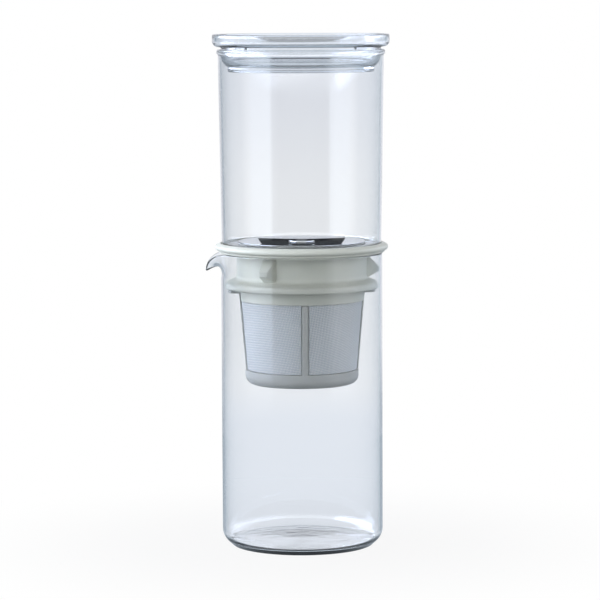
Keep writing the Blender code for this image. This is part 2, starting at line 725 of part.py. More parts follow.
def make_nut(material, parent):
    """Hex nut with a plain bore, chamfered at both faces."""
    corner = NUT_WIDTH / math.sqrt(3)
    low = NUT_TOP - NUT_HEIGHT
    blank = [(0, low), (corner, low), (corner, NUT_TOP), (0, NUT_TOP)]
    nut = place("nozzle_nut", turned(blank, closed=False, steps=6), material, parent)
    bore_low = low - CUTTER_OVERRUN
    bore_high = NUT_TOP + CUTTER_OVERRUN
    bore = [(0, bore_low), (STEM_HOLE, bore_low), (STEM_HOLE, bore_high), (0, bore_high)]
    tool = place(
        "nut_bore_tool", turned(bore, closed=False, steps=SMALL_ROUND_STEPS), parent=parent
    )
    boolean(nut, tool, "DIFFERENCE")


def make_lid(material, parent):
    """Clear dish with an upright rim, a flange over the glass, a plug inside it and a foot ring below."""
    under = NUB_HEIGHT
    plug_bottom = under - LID_PLUG_DEPTH
    floor = plug_bottom + LID_FLOOR
    top = under + LID_RIM_HEIGHT
    flange_top = under + LID_FLANGE
    corner_at = LID_PLUG_RADIUS - LID_PLUG_CORNER
    foot = LID_PLUG_RADIUS - FOOT_SETBACK
    foot_bottom = plug_bottom - FOOT_HEIGHT
    foot_turn = -math.degrees(math.acos((foot - corner_at) / LID_PLUG_CORNER))
    rim_inner = LID_RADIUS - LID_RIM_WALL
    dish = LID_PLUG_RADIUS - LID_WALL
    dish_corner = LID_PLUG_CORNER - LID_WALL
    outline = [(0, plug_bottom), (foot - FOOT_WALL, plug_bottom)]
    outline += [
        (foot - FOOT_WALL, foot_bottom + FOOT_ROUND),
        (foot - FOOT_WALL + FOOT_ROUND, foot_bottom),
        (foot - FOOT_ROUND, foot_bottom),
        (foot, foot_bottom + FOOT_ROUND),
    ]
    outline += arc(corner_at, plug_bottom + LID_PLUG_CORNER, LID_PLUG_CORNER, foot_turn, 0)
    outline += arc(LID_PLUG_RADIUS + LID_PLUG_FILLET, under - LID_PLUG_FILLET, LID_PLUG_FILLET, 180, 90, 2)
    outline += arc(LID_RADIUS - LID_RIM_CORNER, under + LID_RIM_CORNER, LID_RIM_CORNER, -90, 0)
    outline += arc(LID_RADIUS - LID_RIM_ROUND, top - LID_RIM_ROUND, LID_RIM_ROUND, 0, 90, 2)
    outline += arc(rim_inner + LID_RIM_ROUND, top - LID_RIM_ROUND, LID_RIM_ROUND, 90, 180, 2)
    outline += [(rim_inner, flange_top + LID_RIM_ROUND), (rim_inner - LID_RIM_ROUND, flange_top)]
    outline += [(dish + LID_RIM_ROUND, flange_top), (dish, flange_top - LID_RIM_ROUND)]
    outline += arc(dish - dish_corner, floor + dish_corner, dish_corner, 0, -90)
    outline += [(0, floor)]
    lid = place("lid", turned(outline, closed=False), material, parent)
    boolean(lid, make_nubs(parent), "UNION")


def make_nubs(parent):
    """Four low spacers under the flange, which stand on the glass's rim and leave a vent gap."""
    inner = RIM_RADIUS - 2 * BEAD_RADIUS
    half = NUB_LENGTH / 2
    plan = ((inner, -half), (RIM_RADIUS, -half), (RIM_RADIUS, half), (inner, half))
    bm = bmesh.new()
    for angle in NUB_ANGLES:
        level_plate(bm, plan, 0, NUB_HEIGHT + UNION_BITE, angle)
    return place("nub_tool", bm, parent=parent)


def main():
    clear_scene()
    glass = finish("borosilicate_glass", CLEAR_GLASS, 0.02, transmission=1.0)
    acrylic = finish("clear_acrylic", CLEAR_ACRYLIC, 0.04, transmission=1.0)
    moulding = finish("warm_grey_polypropylene", WARM_GREY, 0.42)
    weave = finish("woven_polyester_mesh", MESH_WHITE, 0.6)
    silicone = finish("milky_silicone", MILKY_SILICONE, 0.45)
    steel = finish("polished_stainless_steel", STEEL, 0.08, metallic=1.0)

    make_server(glass)

    collar_seat = seat("collar_seat", COLLAR_SEAT)
    make_collar(moulding, collar_seat)

    strainer_seat = seat("strainer_seat", STRAINER_SEAT, collar_seat)
    make_strainer_frame(moulding, strainer_seat)
    make_side_mesh(weave, strainer_seat)
    make_floor_mesh(weave, strainer_seat)

    upper_seat = seat("upper_glass_seat", UPPER_SEAT, collar_seat)
    make_upper_glass(glass, upper_seat)
    make_gasket(silicone, upper_seat)

    plate_seat = seat("drip_unit_seat", PLATE_SEAT, upper_seat)
    make_drip_plate(steel, plate_seat)
    make_nozzle(steel, plate_seat)
    make_seal(silicone, plate_seat)
    make_nut(steel, plate_seat)

    lid_seat = seat("lid_seat", LID_SEAT, upper_seat)
    make_lid(acrylic, lid_seat)


main()
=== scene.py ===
"""Slow-drip cold brew coffee maker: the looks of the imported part, in metres, +Z up.

A glass jug with a pouring spout, a moulded collar with a mesh strainer, a water glass with a steel drip
plate in its floor, and a clear dish-shaped lid. Everything is round about the Z axis. Angles round the axis
are in degrees from the front (-Y) towards +X, and the spout points along -X. Seats and outer sizes come from
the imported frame, and all other sizes are typed as real ones.
"""

import math

import bmesh
import bpy
import numpy as np
from mathutils import Matrix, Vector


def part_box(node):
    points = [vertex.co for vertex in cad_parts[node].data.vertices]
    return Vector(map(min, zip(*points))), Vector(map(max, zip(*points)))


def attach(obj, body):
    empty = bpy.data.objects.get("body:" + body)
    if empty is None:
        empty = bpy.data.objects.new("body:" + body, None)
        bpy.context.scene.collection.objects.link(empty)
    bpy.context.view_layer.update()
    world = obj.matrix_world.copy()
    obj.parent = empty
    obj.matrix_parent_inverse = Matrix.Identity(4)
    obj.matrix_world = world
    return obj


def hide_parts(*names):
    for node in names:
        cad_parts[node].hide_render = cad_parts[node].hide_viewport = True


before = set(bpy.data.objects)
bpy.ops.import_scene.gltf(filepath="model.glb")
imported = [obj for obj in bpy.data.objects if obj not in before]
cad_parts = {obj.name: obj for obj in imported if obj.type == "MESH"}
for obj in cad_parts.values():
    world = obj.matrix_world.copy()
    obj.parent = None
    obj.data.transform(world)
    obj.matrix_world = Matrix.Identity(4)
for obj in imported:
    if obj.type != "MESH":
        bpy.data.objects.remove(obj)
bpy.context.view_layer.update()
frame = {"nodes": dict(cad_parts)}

bl_info = {
    "name": "Cold brew coffee maker",
    "version": (1, 0, 0),
    "blender": (4, 5, 0),
    "location": "3D View > Sidebar > Brewer",
    "description": "Glass, moulding, woven mesh and steel of a slow-drip cold brew coffee maker",
    "category": "Object",
}

MM = 0.001
WELD = 1e-7
SHARP = math.radians(38)
SPOUT_BEARING = -90
FRAME_BEARING = 3
WINDOWS = 4
FIN_BEARINGS = (-29, 91, -149)
NUB_BEARINGS = (-135, -45, 45, 135)
# Middle control points and tip of the spout's centre line, as shares of its reach and depth
SPOUT_CURVE_SHARES = ((-0.17, 0.60), (0.28, 0.62), (1.0, 0.345))
# Steps once round the axis
ROUND = 256
STRAINER_ROUND = 224
GASKET_ROUND = 192
DISC_ROUND = 96
SMALL_ROUND = 72
NUT_ROUND = 288
# Points of a side mesh panel, up its height and along its width
PANEL_ROWS = 46
PANEL_COLUMNS = 61
# Gap between pieces that fit into one another
CLEARANCE = 0.3 * MM
WHITE = (1.0, 1.0, 1.0, 1.0)
# Light round the object: bearing in degrees from the camera's side towards +X, colour, and brightness.
# Just below the horizon it is pale, with a dark gap in front
LOW_BOXES = (
    (-180, "F4F7FF", 1.0), (-160, "F4F7FF", 0.8), (-150, "B8C8D6", 0.7), (-95, "B8C8D6", 0.35),
    (-82, "FCFEFF", 0.9), (-74, "EAF4FF", 1.4), (-45, "EAF4FF", 1.5), (-41, "26282A", 1.0),
    (34, "26282A", 1.0), (50, "FAFCFF", 1.1), (74, "FAFCFF", 1.0), (90, "D0DAE4", 0.9),
    (150, "C4D2DE", 0.9), (160, "F4F7FF", 0.9), (180, "F4F7FF", 1.0),
)
# Above the horizon: a large strong soft box on the left, and weaker ones in front and on the right
HIGH_BOXES = (
    (-180, "F4F7FF", 1.0), (-150, "F4F7FF", 1.0), (-136, "B8C8D6", 1.3), (-126, "E0E9FF", 12.0),
    (-60, "E0E9FF", 12.0), (-48, "FCFEFF", 2.3), (28, "FCFEFF", 2.3), (45, "E4ECFF", 4.0),
    (120, "E4ECFF", 4.0), (150, "F4F7FF", 1.0), (180, "F4F7FF", 1.0),
)
# Grey flag in front of those soft boxes, just above the horizon
FLAG = (
    (-180, "FFFFFF", 1.0), (-140, "FFFFFF", 1.0), (-128, "7C7C7C", 1.0), (110, "7C7C7C", 1.0),
    (125, "FFFFFF", 1.0), (180, "FFFFFF", 1.0),
)
# Share of the light that is left deep inside the glass, for rays that have been mirrored twice
TWICE_MIRRORED = (
    (-180, "FFFFFF", 1.0), (-150, "FFFFFF", 1.0), (-135, "202020", 1.0), (135, "202020", 1.0),
    (150, "FFFFFF", 1.0), (180, "FFFFFF", 1.0),
)
# Backdrop seen straight through the glass: white, with blue-grey flats to both sides
FLATS = (
    (-180, "FFFFFF", 1.0), (-156, "FFFFFF", 1.0), (-146, "B4C5D4", 1.0), (-125, "B4C5D4", 1.0),
    (-118, "FFFFFF", 1.0), (100, "FFFFFF", 1.0), (104, "4A555D", 1.0), (115, "4A555D", 1.0),
    (119, "A9BBCB", 1.0), (138, "B8C7D3", 1.0), (146, "FFFFFF", 1.0), (180, "FFFFFF", 1.0),
)
# Share of the light that pieces outside the glass get, so that those inside it don't fall behind
OUTSIDE = (0.62, 0.62, 0.62, 1.0)
# Ceiling over the soft boxes, and the ground beyond the edge of the floor
CEILING = (0.5, 0.51, 0.53, 1.0)
BELOW = (0.5, 0.56, 0.63, 1.0)
# What the glass mirrors of the floor
FLOOR_MIRRORED = (0.44, 0.51, 0.58, 1.0)
# Brightness of the backdrop high up, near the horizon, and where it meets the floor
BACKDROP_TOP = (0.88, 0.9, 0.955, 1.0)
BACKDROP_MIDDLE = (0.97, 0.98, 1.0, 1.0)
BACKDROP_FOOT = (0.88, 0.91, 0.965, 1.0)
# Heights in degrees above the horizon, between which one of these lights gives way to the next
FLATS_START = (-16, -12)
BACKDROP_FOOT_END = (-8.4, -7.4)
BELOW_END = (-8.3, -6.3)
BACKDROP_TOP_START = (-4.2, -1.5)
HORIZON = (-0.3, 0.3)
FLAG_START = (2, 3)
FLAG_END = (8, 9.3)
TWICE_MIRRORED_END = (15, 18)
CEILING_START = (26, 36)
# The black card behind the plate: half width, lower edge, upper edge and distance in metres
CARD = (0.034, 0.15, 0.27, 0.5)
CARD_BLACK = (0.004, 0.004, 0.005, 1.0)
# Settings of the nodes that mix two colours and that multiply them
COLOUR_MIX = {"data_type": "RGBA"}
COLOUR_PRODUCT = {"data_type": "RGBA", "blend_type": "MULTIPLY"}


def low_of(node_name):
    """Lowest height of a CAD node."""
    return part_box(node_name)[0].z


def top_of(node_name):
    """Highest height of a CAD node."""
    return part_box(node_name)[1].z


def reach_of(node_name):
    """Reach of a CAD node along +X, where each turned piece has its full radius."""
    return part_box(node_name)[1].x


def linear(code):
    """Linear RGBA of an sRGB hex code such as E8ECEF."""
    coded = np.array([int(code[i : i + 2], 16) for i in (0, 2, 4)]) / 255
    light = np.where(coded <= 0.04045, coded / 12.92, ((coded + 0.055) / 1.055) ** 2.4)
    return (*light.tolist(), 1.0)


def length(name, description, default):
    """A size in metres that a user may change."""
    return bpy.props.FloatProperty(
        name=name, description=description, default=default, unit="LENGTH", precision=5, min=0
    )


def angle(name, description, default):
    """An angle, given in degrees and kept in radians."""
    return bpy.props.FloatProperty(
        name=name, description=description, default=math.radians(default), subtype="ANGLE"
    )


def colour(name, description, code):
    """A colour, given as an sRGB hex code and kept in linear light."""
    return bpy.props.FloatVectorProperty(
        name=name, description=description, default=linear(code)[:3], size=3, subtype="COLOR", min=0, max=1
    )


def share(name, description, default):
    """A plain number without a unit."""
    return bpy.props.FloatProperty(name=name, description=description, default=default, min=0)


class JugSizes(bpy.types.PropertyGroup):
    """Sizes of the glass jug."""

    radius: length("Radius", "Outer radius of the blown wall", reach_of("server"))
    height: length("Height", "Height of the fire-polished rim", top_of("server"))
    wall: length("Wall", "Thickness of the blown wall", 1.4 * MM)
    floor: length("Floor", "Thickness of the floor", 3.0 * MM)
    heel: length("Heel", "Outer round between the foot and the wall", 9.5 * MM)
    heel_turn: angle("Heel turn", "Arc of that round, before it runs straight down to the foot", 48)
    corner: length("Corner", "Inner round between the floor and the wall", 5.4 * MM)
    push_up: length("Push-up", "Hollow in the middle of the foot, so that it stands on a ring", 0.5 * MM)
    spout_reach: length("Spout reach", "How far the spout is drawn out", 9.05 * MM)
    spout_depth: length("Spout depth", "Height over which the spout is drawn", 14.2 * MM)
    spout_half: angle("Spout half angle", "Half of the arc of rim that the spout takes", 25)


class CollarSizes(bpy.types.PropertyGroup):
    """Sizes of the moulded collar, with heights from its seat on the jug's rim."""

    flange: length("Flange radius", "Outer radius of the top flange", reach_of("collar"))
    edge: length("Flange edge", "Round of the flange's outer edge", 1.75 * MM)
    step: length("Step radius", "Outer radius of the step under the flange", 48.9 * MM)
    step_height: length("Step height", "Height of that step", 1.4 * MM)
    lip: length("Lip radius", "Inner radius of the lip that holds the water glass", 47.3 * MM)
    lip_height: length("Lip height", "Height of that lip", 5.5 * MM)
    deck: length("Deck", "Height of the deck that the water glass stands on", 3.3 * MM)
    neck: length("Neck radius", "Outer radius of the neck", 38.4 * MM)
    bore: length("Bore radius", "Radius of the opening through the neck", 36.4 * MM)
    neck_length: length("Neck length", "From the seat down to where the flare starts", 15.1 * MM)
    flare: angle("Flare angle", "Slope of the lower flange", 20)
    flare_tip: length("Flare radius", "Outer radius of the lower flange", 45.1 * MM)
    flare_round: length("Flare round", "Upper round of the lower flange's edge", 2.6 * MM)
    flare_edge: length("Flare edge", "Lower round of the lower flange's edge", 1.0 * MM)
    flare_low: length("Flare underside", "Depth of the lower flange's underside", 21.16 * MM)
    skirt: length("Skirt radius", "Outer radius of the skirt", 37.0 * MM)
    skirt_inner: length("Skirt bore", "Inner radius of the skirt", 36.0 * MM)
    skirt_low: length("Skirt bottom", "Depth of the skirt's lower edge", 28.26 * MM)
    fin_tip: length("Fin tip radius", "Reach of the three centring fins", 45.8 * MM)
    fin_root_width: length("Fin root width", "Width of a fin at the neck", 8.0 * MM)
    fin_tip_width: length("Fin tip width", "Width of a fin at its tip", 5.6 * MM)
    notch: length("Notch width", "Width of the two openings for the strainer's ears", 16.6 * MM)


class StrainerSizes(bpy.types.PropertyGroup):
    """Sizes of the strainer, with heights from the top of its ring."""

    length: length("Length", "From the top of the ring down to the floor", 56.1 * MM)
    ring: length("Ring radius", "Outer radius of the ring that plugs into the skirt", 35.7 * MM)
    ring_wall: length("Ring wall", "Thickness of that ring", 1.6 * MM)
    ring_height: length("Ring height", "Height of that ring", 6.3 * MM)
    rib_top: length("Rib top radius", "Outer radius of the ribs under the skirt", 36.75 * MM)
    rib_drop: length("Rib drop", "Depth of the ribs' upper ends", 6.8 * MM)
    rib_width: length("Rib width", "Width of the four ribs", 3.9 * MM)
    rib_depth: length("Rib depth", "Depth of the ribs, from outside to inside", 2.0 * MM)
    base: length("Base radius", "Outer radius of the base cup", 33.4 * MM)
    base_height: length("Base height", "Height of the base cup", 8.5 * MM)
    base_wall: length("Base wall", "Wall and floor of the base cup", 2.0 * MM)
    base_corner: length("Base corner", "Outer round of the base cup", 5.0 * MM)
    ledge: length("Ledge", "Width of the ledge that carries the floor mesh", 3.6 * MM)
    spoke: length("Spoke width", "Width of the cross in the floor", 3.0 * MM)
    ear_reach: length("Ear reach", "Reach of the two finger ears from the axis", 43.3 * MM)
    ear_width: length("Ear width", "Width of the ears", 15.6 * MM)
    ear_thickness: length("Ear thickness", "Thickness of the ears", 1.75 * MM)
    ear_corner: length("Ear corner", "Round of the ears' outer corners", 4.0 * MM)
    mesh_setback: length("Mesh setback", "From the ribs' outer faces back to the mesh", 1.2 * MM)
    mesh_thickness: length("Mesh thickness", "Thickness of the woven sheet", 0.5 * MM)


class WaterGlassSizes(bpy.types.PropertyGroup):
    """Sizes of the open water glass, with heights from its seat on the collar's deck."""

    bottom: length("Bottom radius", "Outer radius at the bottom", 46.9 * MM)
    top: length("Top radius", "Outer radius below the rim", 48.6 * MM)
    rim: length("Rim radius", "Outer radius of the beaded rim", reach_of("upper_glass"))
    bead: length("Bead", "Round of the beaded rim", 1.04 * MM)
    wall: length("Wall", "Thickness of the glass", 1.4 * MM)
    corner: length("Corner", "Outer round between the floor and the wall", 3.0 * MM)
    hole: length("Hole radius", "Radius of the hole in the floor", 34.5 * MM)


class DripSizes(bpy.types.PropertyGroup):
    """Sizes of the steel drip unit and its silicone."""

    plate: length("Plate radius", "Outer radius of the steel plate", reach_of("drip_plate"))
    sheet: length("Sheet", "Thickness of the pressed steel", 0.5 * MM)
    plug: length("Plug radius", "Outer radius of the collar under the plate", 33.0 * MM)
    plug_depth: length("Plug depth", "Depth of that collar", 3.4 * MM)
    dish: length("Dish", "How far the middle lies below the rim", 1.5 * MM)
    head: length("Nozzle head radius", "Outer radius of the nozzle's head", reach_of("drip_nozzle"))
    stem: length("Stem radius", "Outer radius of the threaded stem", 2.9 * MM)
    bore: length("Drip bore radius", "Radius of the bore that the water drips through", 0.6 * MM)
    pitch: length("Thread pitch", "Pitch of the stem's thread", 0.8 * MM)
    thread: length("Thread depth", "Depth of that thread", 0.35 * MM)
    nut: length("Nut width", "Width across the flats of the hex nut", 11.0 * MM)


class LidSizes(bpy.types.PropertyGroup):
    """Sizes of the clear lid, with heights from its seat on the water glass."""

    radius: length("Radius", "Outer radius of the upright rim", reach_of("lid"))
    rim_wall: length("Rim wall", "Thickness of the upright rim", 2.4 * MM)
    rim_height: length("Rim height", "Height of that rim above the underside of the flange", 7.4 * MM)
    rim_corner: length("Rim corner", "Outer round under the rim", 3.4 * MM)
    flange: length("Flange", "Thickness of the flange over the glass", 2.0 * MM)
    wall: length("Wall", "Thickness of the plug's wall", 2.0 * MM)
    floor: length("Floor", "Thickness of the dish's floor", 2.4 * MM)
    plug: length("Plug radius", "Outer radius of the plug inside the glass", 46.8 * MM)
    plug_depth: length("Plug depth", "From the flange down to the underside of the floor", 12.7 * MM)
    plug_corner: length("Plug corner", "Outer round of the plug", 7.7 * MM)
    foot: length("Foot radius", "Outer radius of the foot ring", 43.0 * MM)
    foot_wall: length("Foot wall", "Thickness of the foot ring", 1.6 * MM)
    foot_height: length("Foot height", "Height of the foot ring", 1.8 * MM)
    nub: length("Nub height", "Height of the four spacers under the flange", 1.1 * MM)
    nub_length: length("Nub length", "Length of a spacer along the rim", 9.0 * MM)


class Finishes(bpy.types.PropertyGroup):
    """Colours and grain of the materials."""

    glass: colour("Glass", "Tint of the borosilicate glass", "FAFBFC")
    acrylic: colour("Acrylic", "Tint of the clear lid", "F2F5F8")
    moulding: colour("Moulding", "Warm pale grey of the polypropylene", "D0D0C1")
    # The frame's grey is partly its own, a more neutral hue, and partly painted shade: darker than the
    # collar to stand in for less light on the lower parts
    frame: colour("Frame", "Grey of the strainer's polypropylene frame", "B2B2AB")
    thread: colour("Mesh thread", "White of the polyester threads", "FFFCF5")
    # Painted shade: the gap's darker colour stands in for the shaded inside seen through the mesh's holes
    gap: colour("Mesh gap", "Darker holes between the threads", "BCC6CA")
    silicone: colour("Silicone", "Milky white of the silicone", "E9E9E4")
    steel: colour("Steel", "Polished stainless steel", "CDCFD0")
    grain: length("Mould grain", "Size of the fine spark-eroded grain on the moulding", 0.35 * MM)
    weave: length("Weave pitch", "Spacing of the mesh's threads, coarser than the real one", 1.4 * MM)


class Studio(bpy.types.PropertyGroup):
    """Camera and light. Bearings of the light are in degrees from the camera's side towards +X."""

    distance: length("Camera distance", "From the object's axis to the camera", 1.720)
    height: length("Camera height", "Height of the camera", 0.3231)
    pitch: angle("Camera pitch", "How far the camera looks down", 5.911)
    roll: angle("Camera roll", "How far the camera is turned about its own axis", 0.25)
    heading: angle("Camera heading", "How far the camera looks past the object's axis", 0.036)
    lens: share("Lens", "Focal length in millimetres over a 36 mm wide picture", 175.7)
    light: share("Light", "Strength of the surroundings as a whole", 1.0)
    floor: colour("Floor", "Pale floor", "85888B")


GROUPS = {
    "brewer_jug": JugSizes,
    "brewer_collar": CollarSizes,
    "brewer_strainer": StrainerSizes,
    "brewer_water_glass": WaterGlassSizes,
    "brewer_drip": DripSizes,
    "brewer_lid": LidSizes,
    "brewer_finishes": Finishes,
    "brewer_studio": Studio,
}


def outline(corners, closed=True, steps=8):
    """Rows of (radius, height) through corners (radius, height, fillet). The line leaves its straight runs
    at fillet * tan(turn / 2) before a corner and follows a circle there: where the heading has gone from h0
    to h, the point is start + fillet * (sin h - sin h0, cos h0 - cos h)."""
    data = np.array(corners, float)
    point, fillet = data[:, :2], data[:, 2:3]
    back = point - np.roll(point, 1, axis=0)
    ahead = np.roll(point, -1, axis=0) - point
    if not closed:
        back[0] = ahead[0]
        ahead[-1] = back[-1]
    back /= np.linalg.norm(back, axis=1, keepdims=True)
    ahead /= np.linalg.norm(ahead, axis=1, keepdims=True)
    heading = np.arctan2(back[:, 1], back[:, 0])[:, None]
    cross = back[:, 0] * ahead[:, 1] - back[:, 1] * ahead[:, 0]
    turn = np.arctan2(cross, (back * ahead).sum(axis=1))[:, None]
    start = point - back * fillet * np.tan(np.abs(turn) / 2)
    now = heading + turn * np.linspace(0, 1, steps + 1)
    bend = np.stack([np.sin(now) - np.sin(heading), np.cos(heading) - np.cos(now)], axis=-1)
    rows = (start[:, None] + bend * (fillet * np.sign(turn))[:, None]).reshape(-1, 2)
    apart = np.linalg.norm(np.diff(rows, axis=0), axis=1) > WELD
    return rows[np.concatenate([[True], apart])]


def rectangle(inner, low, outer, high, fillets=0):
    """Corners (radius, height, fillet) of a rectangle, from its low inner one round by its low outer one.
    The fillets are one number or one for each corner."""
    corners = ((inner, low), (outer, low), (outer, high), (inner, high))
    return [(*corner, fillet) for corner, fillet in zip(corners, np.broadcast_to(fillets, 4))]


def divided(rows, longest):
    """The same line with each straight run cut into equal parts no longer than a limit, which may be one
    number or one for each run."""
    run = np.diff(rows, axis=0)
    count = np.maximum(np.ceil(np.linalg.norm(run, axis=1) / longest), 1).astype(int)
    part = np.arange(count.sum()) - np.repeat(np.cumsum(count) - count, count)
    along = (part / np.repeat(count, count))[:, None]
    starts = np.repeat(rows[:-1], count, axis=0)
    return np.vstack([starts + np.repeat(run, count, axis=0) * along, rows[-1:]])


def turned(rows, angles, seat=0):
    """Surface of revolution over a seat height: P(a, t) = (r(t) sin a, -r(t) cos a, seat + h(t))."""
    a = np.radians(np.asarray(angles))[:, None]
    radius = rows[None, :, 0]
    height = rows[None, :, 1] + seat + 0 * a
    return np.stack([radius * np.sin(a), -radius * np.cos(a), height], axis=-1)


def even_angles(count):
    """Equal steps once round the axis."""
    return np.arange(count) * 360 / count


def fine_angles(centre, half, fine, coarse):
    """Angles once round the axis, close together within a half angle of a centre, and wider apart
    elsewhere."""
    near = np.linspace(-half, half, fine, endpoint=False)
    far = np.linspace(half, 360 - half, coarse, endpoint=False)
    return centre + np.concatenate([near, far])


def shell(points, around=True, along=True):
    """Corners and quads of a closed surface over a grid of points. around joins the last row to the first,
    and along the last column to the first. The sign of the enclosed volume turns the quads outwards."""
    rows, columns = points.shape[:2]
    index = np.arange(rows * columns).reshape(rows, columns)
    if around:
        index = np.vstack([index, index[:1]])
    if along:
        index = np.hstack([index, index[:, :1]])
    corners = (index[:-1, :-1], index[1:, :-1], index[1:, 1:], index[:-1, 1:])
    quads = np.stack(corners, axis=-1).reshape(-1, 4)
    flat = points.reshape(-1, 3)
    centred = flat - flat.mean(axis=0)
    a, b, c, d = (centred[quads[:, i]] for i in range(4))
    volume = (np.cross(a, b) * c).sum() + (np.cross(a, c) * d).sum()
    return flat, quads if volume > 0 else quads[:, ::-1]


def capped(points):
    """The grid with its first and last columns drawn to their middles, which closes both ends of a bar."""
    first = np.broadcast_to(points[:, :1].mean(axis=0), points[:, :1].shape)
    last = np.broadcast_to(points[:, -1:].mean(axis=0), points[:, -1:].shape)
    return np.concatenate([first, points, last], axis=1)


def bar(corners, half_width, edge, steps=5):
    """Local grid (p, q, s) of a bar with rounded edges. Its side view is a convex outline of (p, q, fillet)
    corners. At a quarter turn t of an edge the outline is drawn in by edge * (1 - sin t) and stands
    edge * (1 - cos t) inside the half width, which is one number or a function of p."""
    side_view = outline(corners, steps=4)
    ahead = np.roll(side_view, -1, axis=0) - np.roll(side_view, 1, axis=0)
    ahead /= np.linalg.norm(ahead, axis=1, keepdims=True)
    inward = np.stack([-ahead[:, 1], ahead[:, 0]], axis=-1)
    inward *= np.sign((inward * (side_view.mean(axis=0) - side_view)).sum())
    quarter = np.linspace(0, math.pi / 2, steps)
    t = np.concatenate([quarter, quarter[::-1]])
    side = np.repeat([-1, 1], steps)
    drawn = side_view[:, None] + inward[:, None] * (edge * (1 - np.sin(t)))[None, :, None]
    half = half_width(drawn[..., 0]) if callable(half_width) else half_width + 0 * drawn[..., 0]
    across = side * (half - edge * (1 - np.cos(t)))
    return capped(np.concatenate([drawn, across[..., None]], axis=-1))


def lying(local, bearing, middle):
    """A bar laid flat at a height: p points outwards, q sideways and s up."""
    turn = math.radians(bearing)
    out = np.array([math.sin(turn), -math.cos(turn)])
    side = np.array([-out[1], out[0]])
    plan = local[..., :1] * out + local[..., 1:2] * side
    return shell(np.concatenate([plan, local[..., 2:] + middle], axis=-1), along=False)


def standing(local, bearing):
    """A bar stood up against the axis: p is the radius, q the height and s the way round."""
    return lying(local[..., [0, 2, 1]], bearing, 0)


def build(name, *shells, uv=None):
    """A mesh object of closed shells, welded at its poles and smooth but for its sharp edges."""
    corners = np.vstack([flat for flat, quads in shells])
    offsets = np.cumsum([0] + [len(flat) for flat, quads in shells[:-1]])
    quads = np.vstack([quads + offset for (flat, quads), offset in zip(shells, offsets)])
    mesh = bpy.data.meshes.new(name)
    mesh.vertices.add(len(corners))
    mesh.vertices.foreach_set("co", corners.ravel())
    mesh.loops.add(quads.size)
    mesh.loops.foreach_set("vertex_index", quads.ravel())
    mesh.polygons.add(len(quads))
    mesh.polygons.foreach_set("loop_start", np.arange(len(quads)) * 4)
    mesh.update(calc_edges=True)
    if uv is not None:
        layer = mesh.uv_layers.new(name="surface")
        layer.data.foreach_set("uv", uv.reshape(-1, 2)[quads.ravel()].ravel())
    bm = bmesh.new()
    bm.from_mesh(mesh)
    bmesh.ops.remove_doubles(bm, verts=bm.verts, dist=WELD)
    bm.to_mesh(mesh)
    bm.free()
    mesh.validate()
    mesh.shade_smooth()
    mesh.set_sharp_from_angle(angle=SHARP)
    thing = bpy.data.objects.new(name, mesh)
    bpy.context.scene.collection.objects.link(thing)
    return thing


def joined(thing, name, bars, operation="UNION"):
    """Joins closed bars to a piece, or cuts them out of it, and keeps the result as the piece's own mesh."""
    tool = build(name, *bars)
    modifier = thing.modifiers.new("shape", "BOOLEAN")
    modifier.operation = operation
    modifier.solver = "MANIFOLD"
    modifier.object = tool
    bpy.context.view_layer.update()
    depsgraph = bpy.context.evaluated_depsgraph_get()
    result = bpy.data.meshes.new_from_object(thing.evaluated_get(depsgraph))
    thing.modifiers.clear()
    thing.data = result
    result.shade_smooth()
    result.set_sharp_from_angle(angle=SHARP)
    bpy.data.objects.remove(tool)
    return thing


def turned_piece(name, rows, count, seat=0, along=True):
    """A piece turned about the axis in even steps. along is False for rows from the axis to the axis."""
    return build(name, shell(turned(rows, even_angles(count), seat), along=along))


def node(tree, kind, inputs=None, **settings):
    """Adds a shader node with its settings. inputs gives each socket a value, a link, or a node whose first
    output in use it takes."""
    made = tree.nodes.new(kind)
    for name, value in settings.items():
        setattr(made, name, value)
    for socket, value in (inputs or {}).items():
        if isinstance(value, bpy.types.Node):
            value = next(output for output in value.outputs if output.enabled)
        if isinstance(value, bpy.types.NodeSocket):
            tree.links.new(value, made.inputs[socket])
        else:
            made.inputs[socket].default_value = value
    return made


def finished(name, surface, *values):
    """A new material of this name. surface(tree, *values) adds its nodes and gives the last one."""
    material = bpy.data.materials.new(name)
    material.use_nodes = True
    tree = material.node_tree
    tree.nodes.clear()
    node(tree, "ShaderNodeOutputMaterial", {"Surface": surface(tree, *values)})
    return material


def rgba(value):
    """A colour property with full alpha."""
    return (*value, 1.0)


def clear_borosilicate(tree, finishes):
    """Blown borosilicate glass: clear, faintly blue where it is thick, with slow ripples left by blowing.
    Shorter, stronger ones in the jug's thick foot break up what the floor mirrors, and fade out from 8 to
    13 mm above its seat."""
    place = node(tree, "ShaderNodeTexCoord").outputs["Object"]
    ripple_size = 22 * MM
    foot_ripple_size = 7 * MM
    ripple = node(tree, "ShaderNodeTexNoise", {"Vector": place, "Scale": 1 / ripple_size, "Detail": 0.0})
    foot_ripple = node(
        tree, "ShaderNodeTexNoise", {"Vector": place, "Scale": 1 / foot_ripple_size, "Detail": 0.0}
    )
    split = node(tree, "ShaderNodeSeparateXYZ", {"Vector": place})
    foot_share = node(
        tree,
        "ShaderNodeMapRange",
        {"Value": split.outputs["Z"], "From Min": 8 * MM, "From Max": 13 * MM, "To Min": 1.3, "To Max": 0.0},
        interpolation_type="SMOOTHSTEP",
    )
    height = node(
        tree, "ShaderNodeMath", {0: foot_ripple, 1: foot_share, 2: ripple}, operation="MULTIPLY_ADD"
    )
    bump = node(tree, "ShaderNodeBump", {"Strength": 1.0, "Distance": 0.03 * MM, "Height": height})
    look = {"Roughness": 0.0, "IOR": 1.473, "Transmission Weight": 1.0}
    return node(
        tree, "ShaderNodeBsdfPrincipled", {"Base Color": rgba(finishes.glass), **look, "Normal": bump}
    )


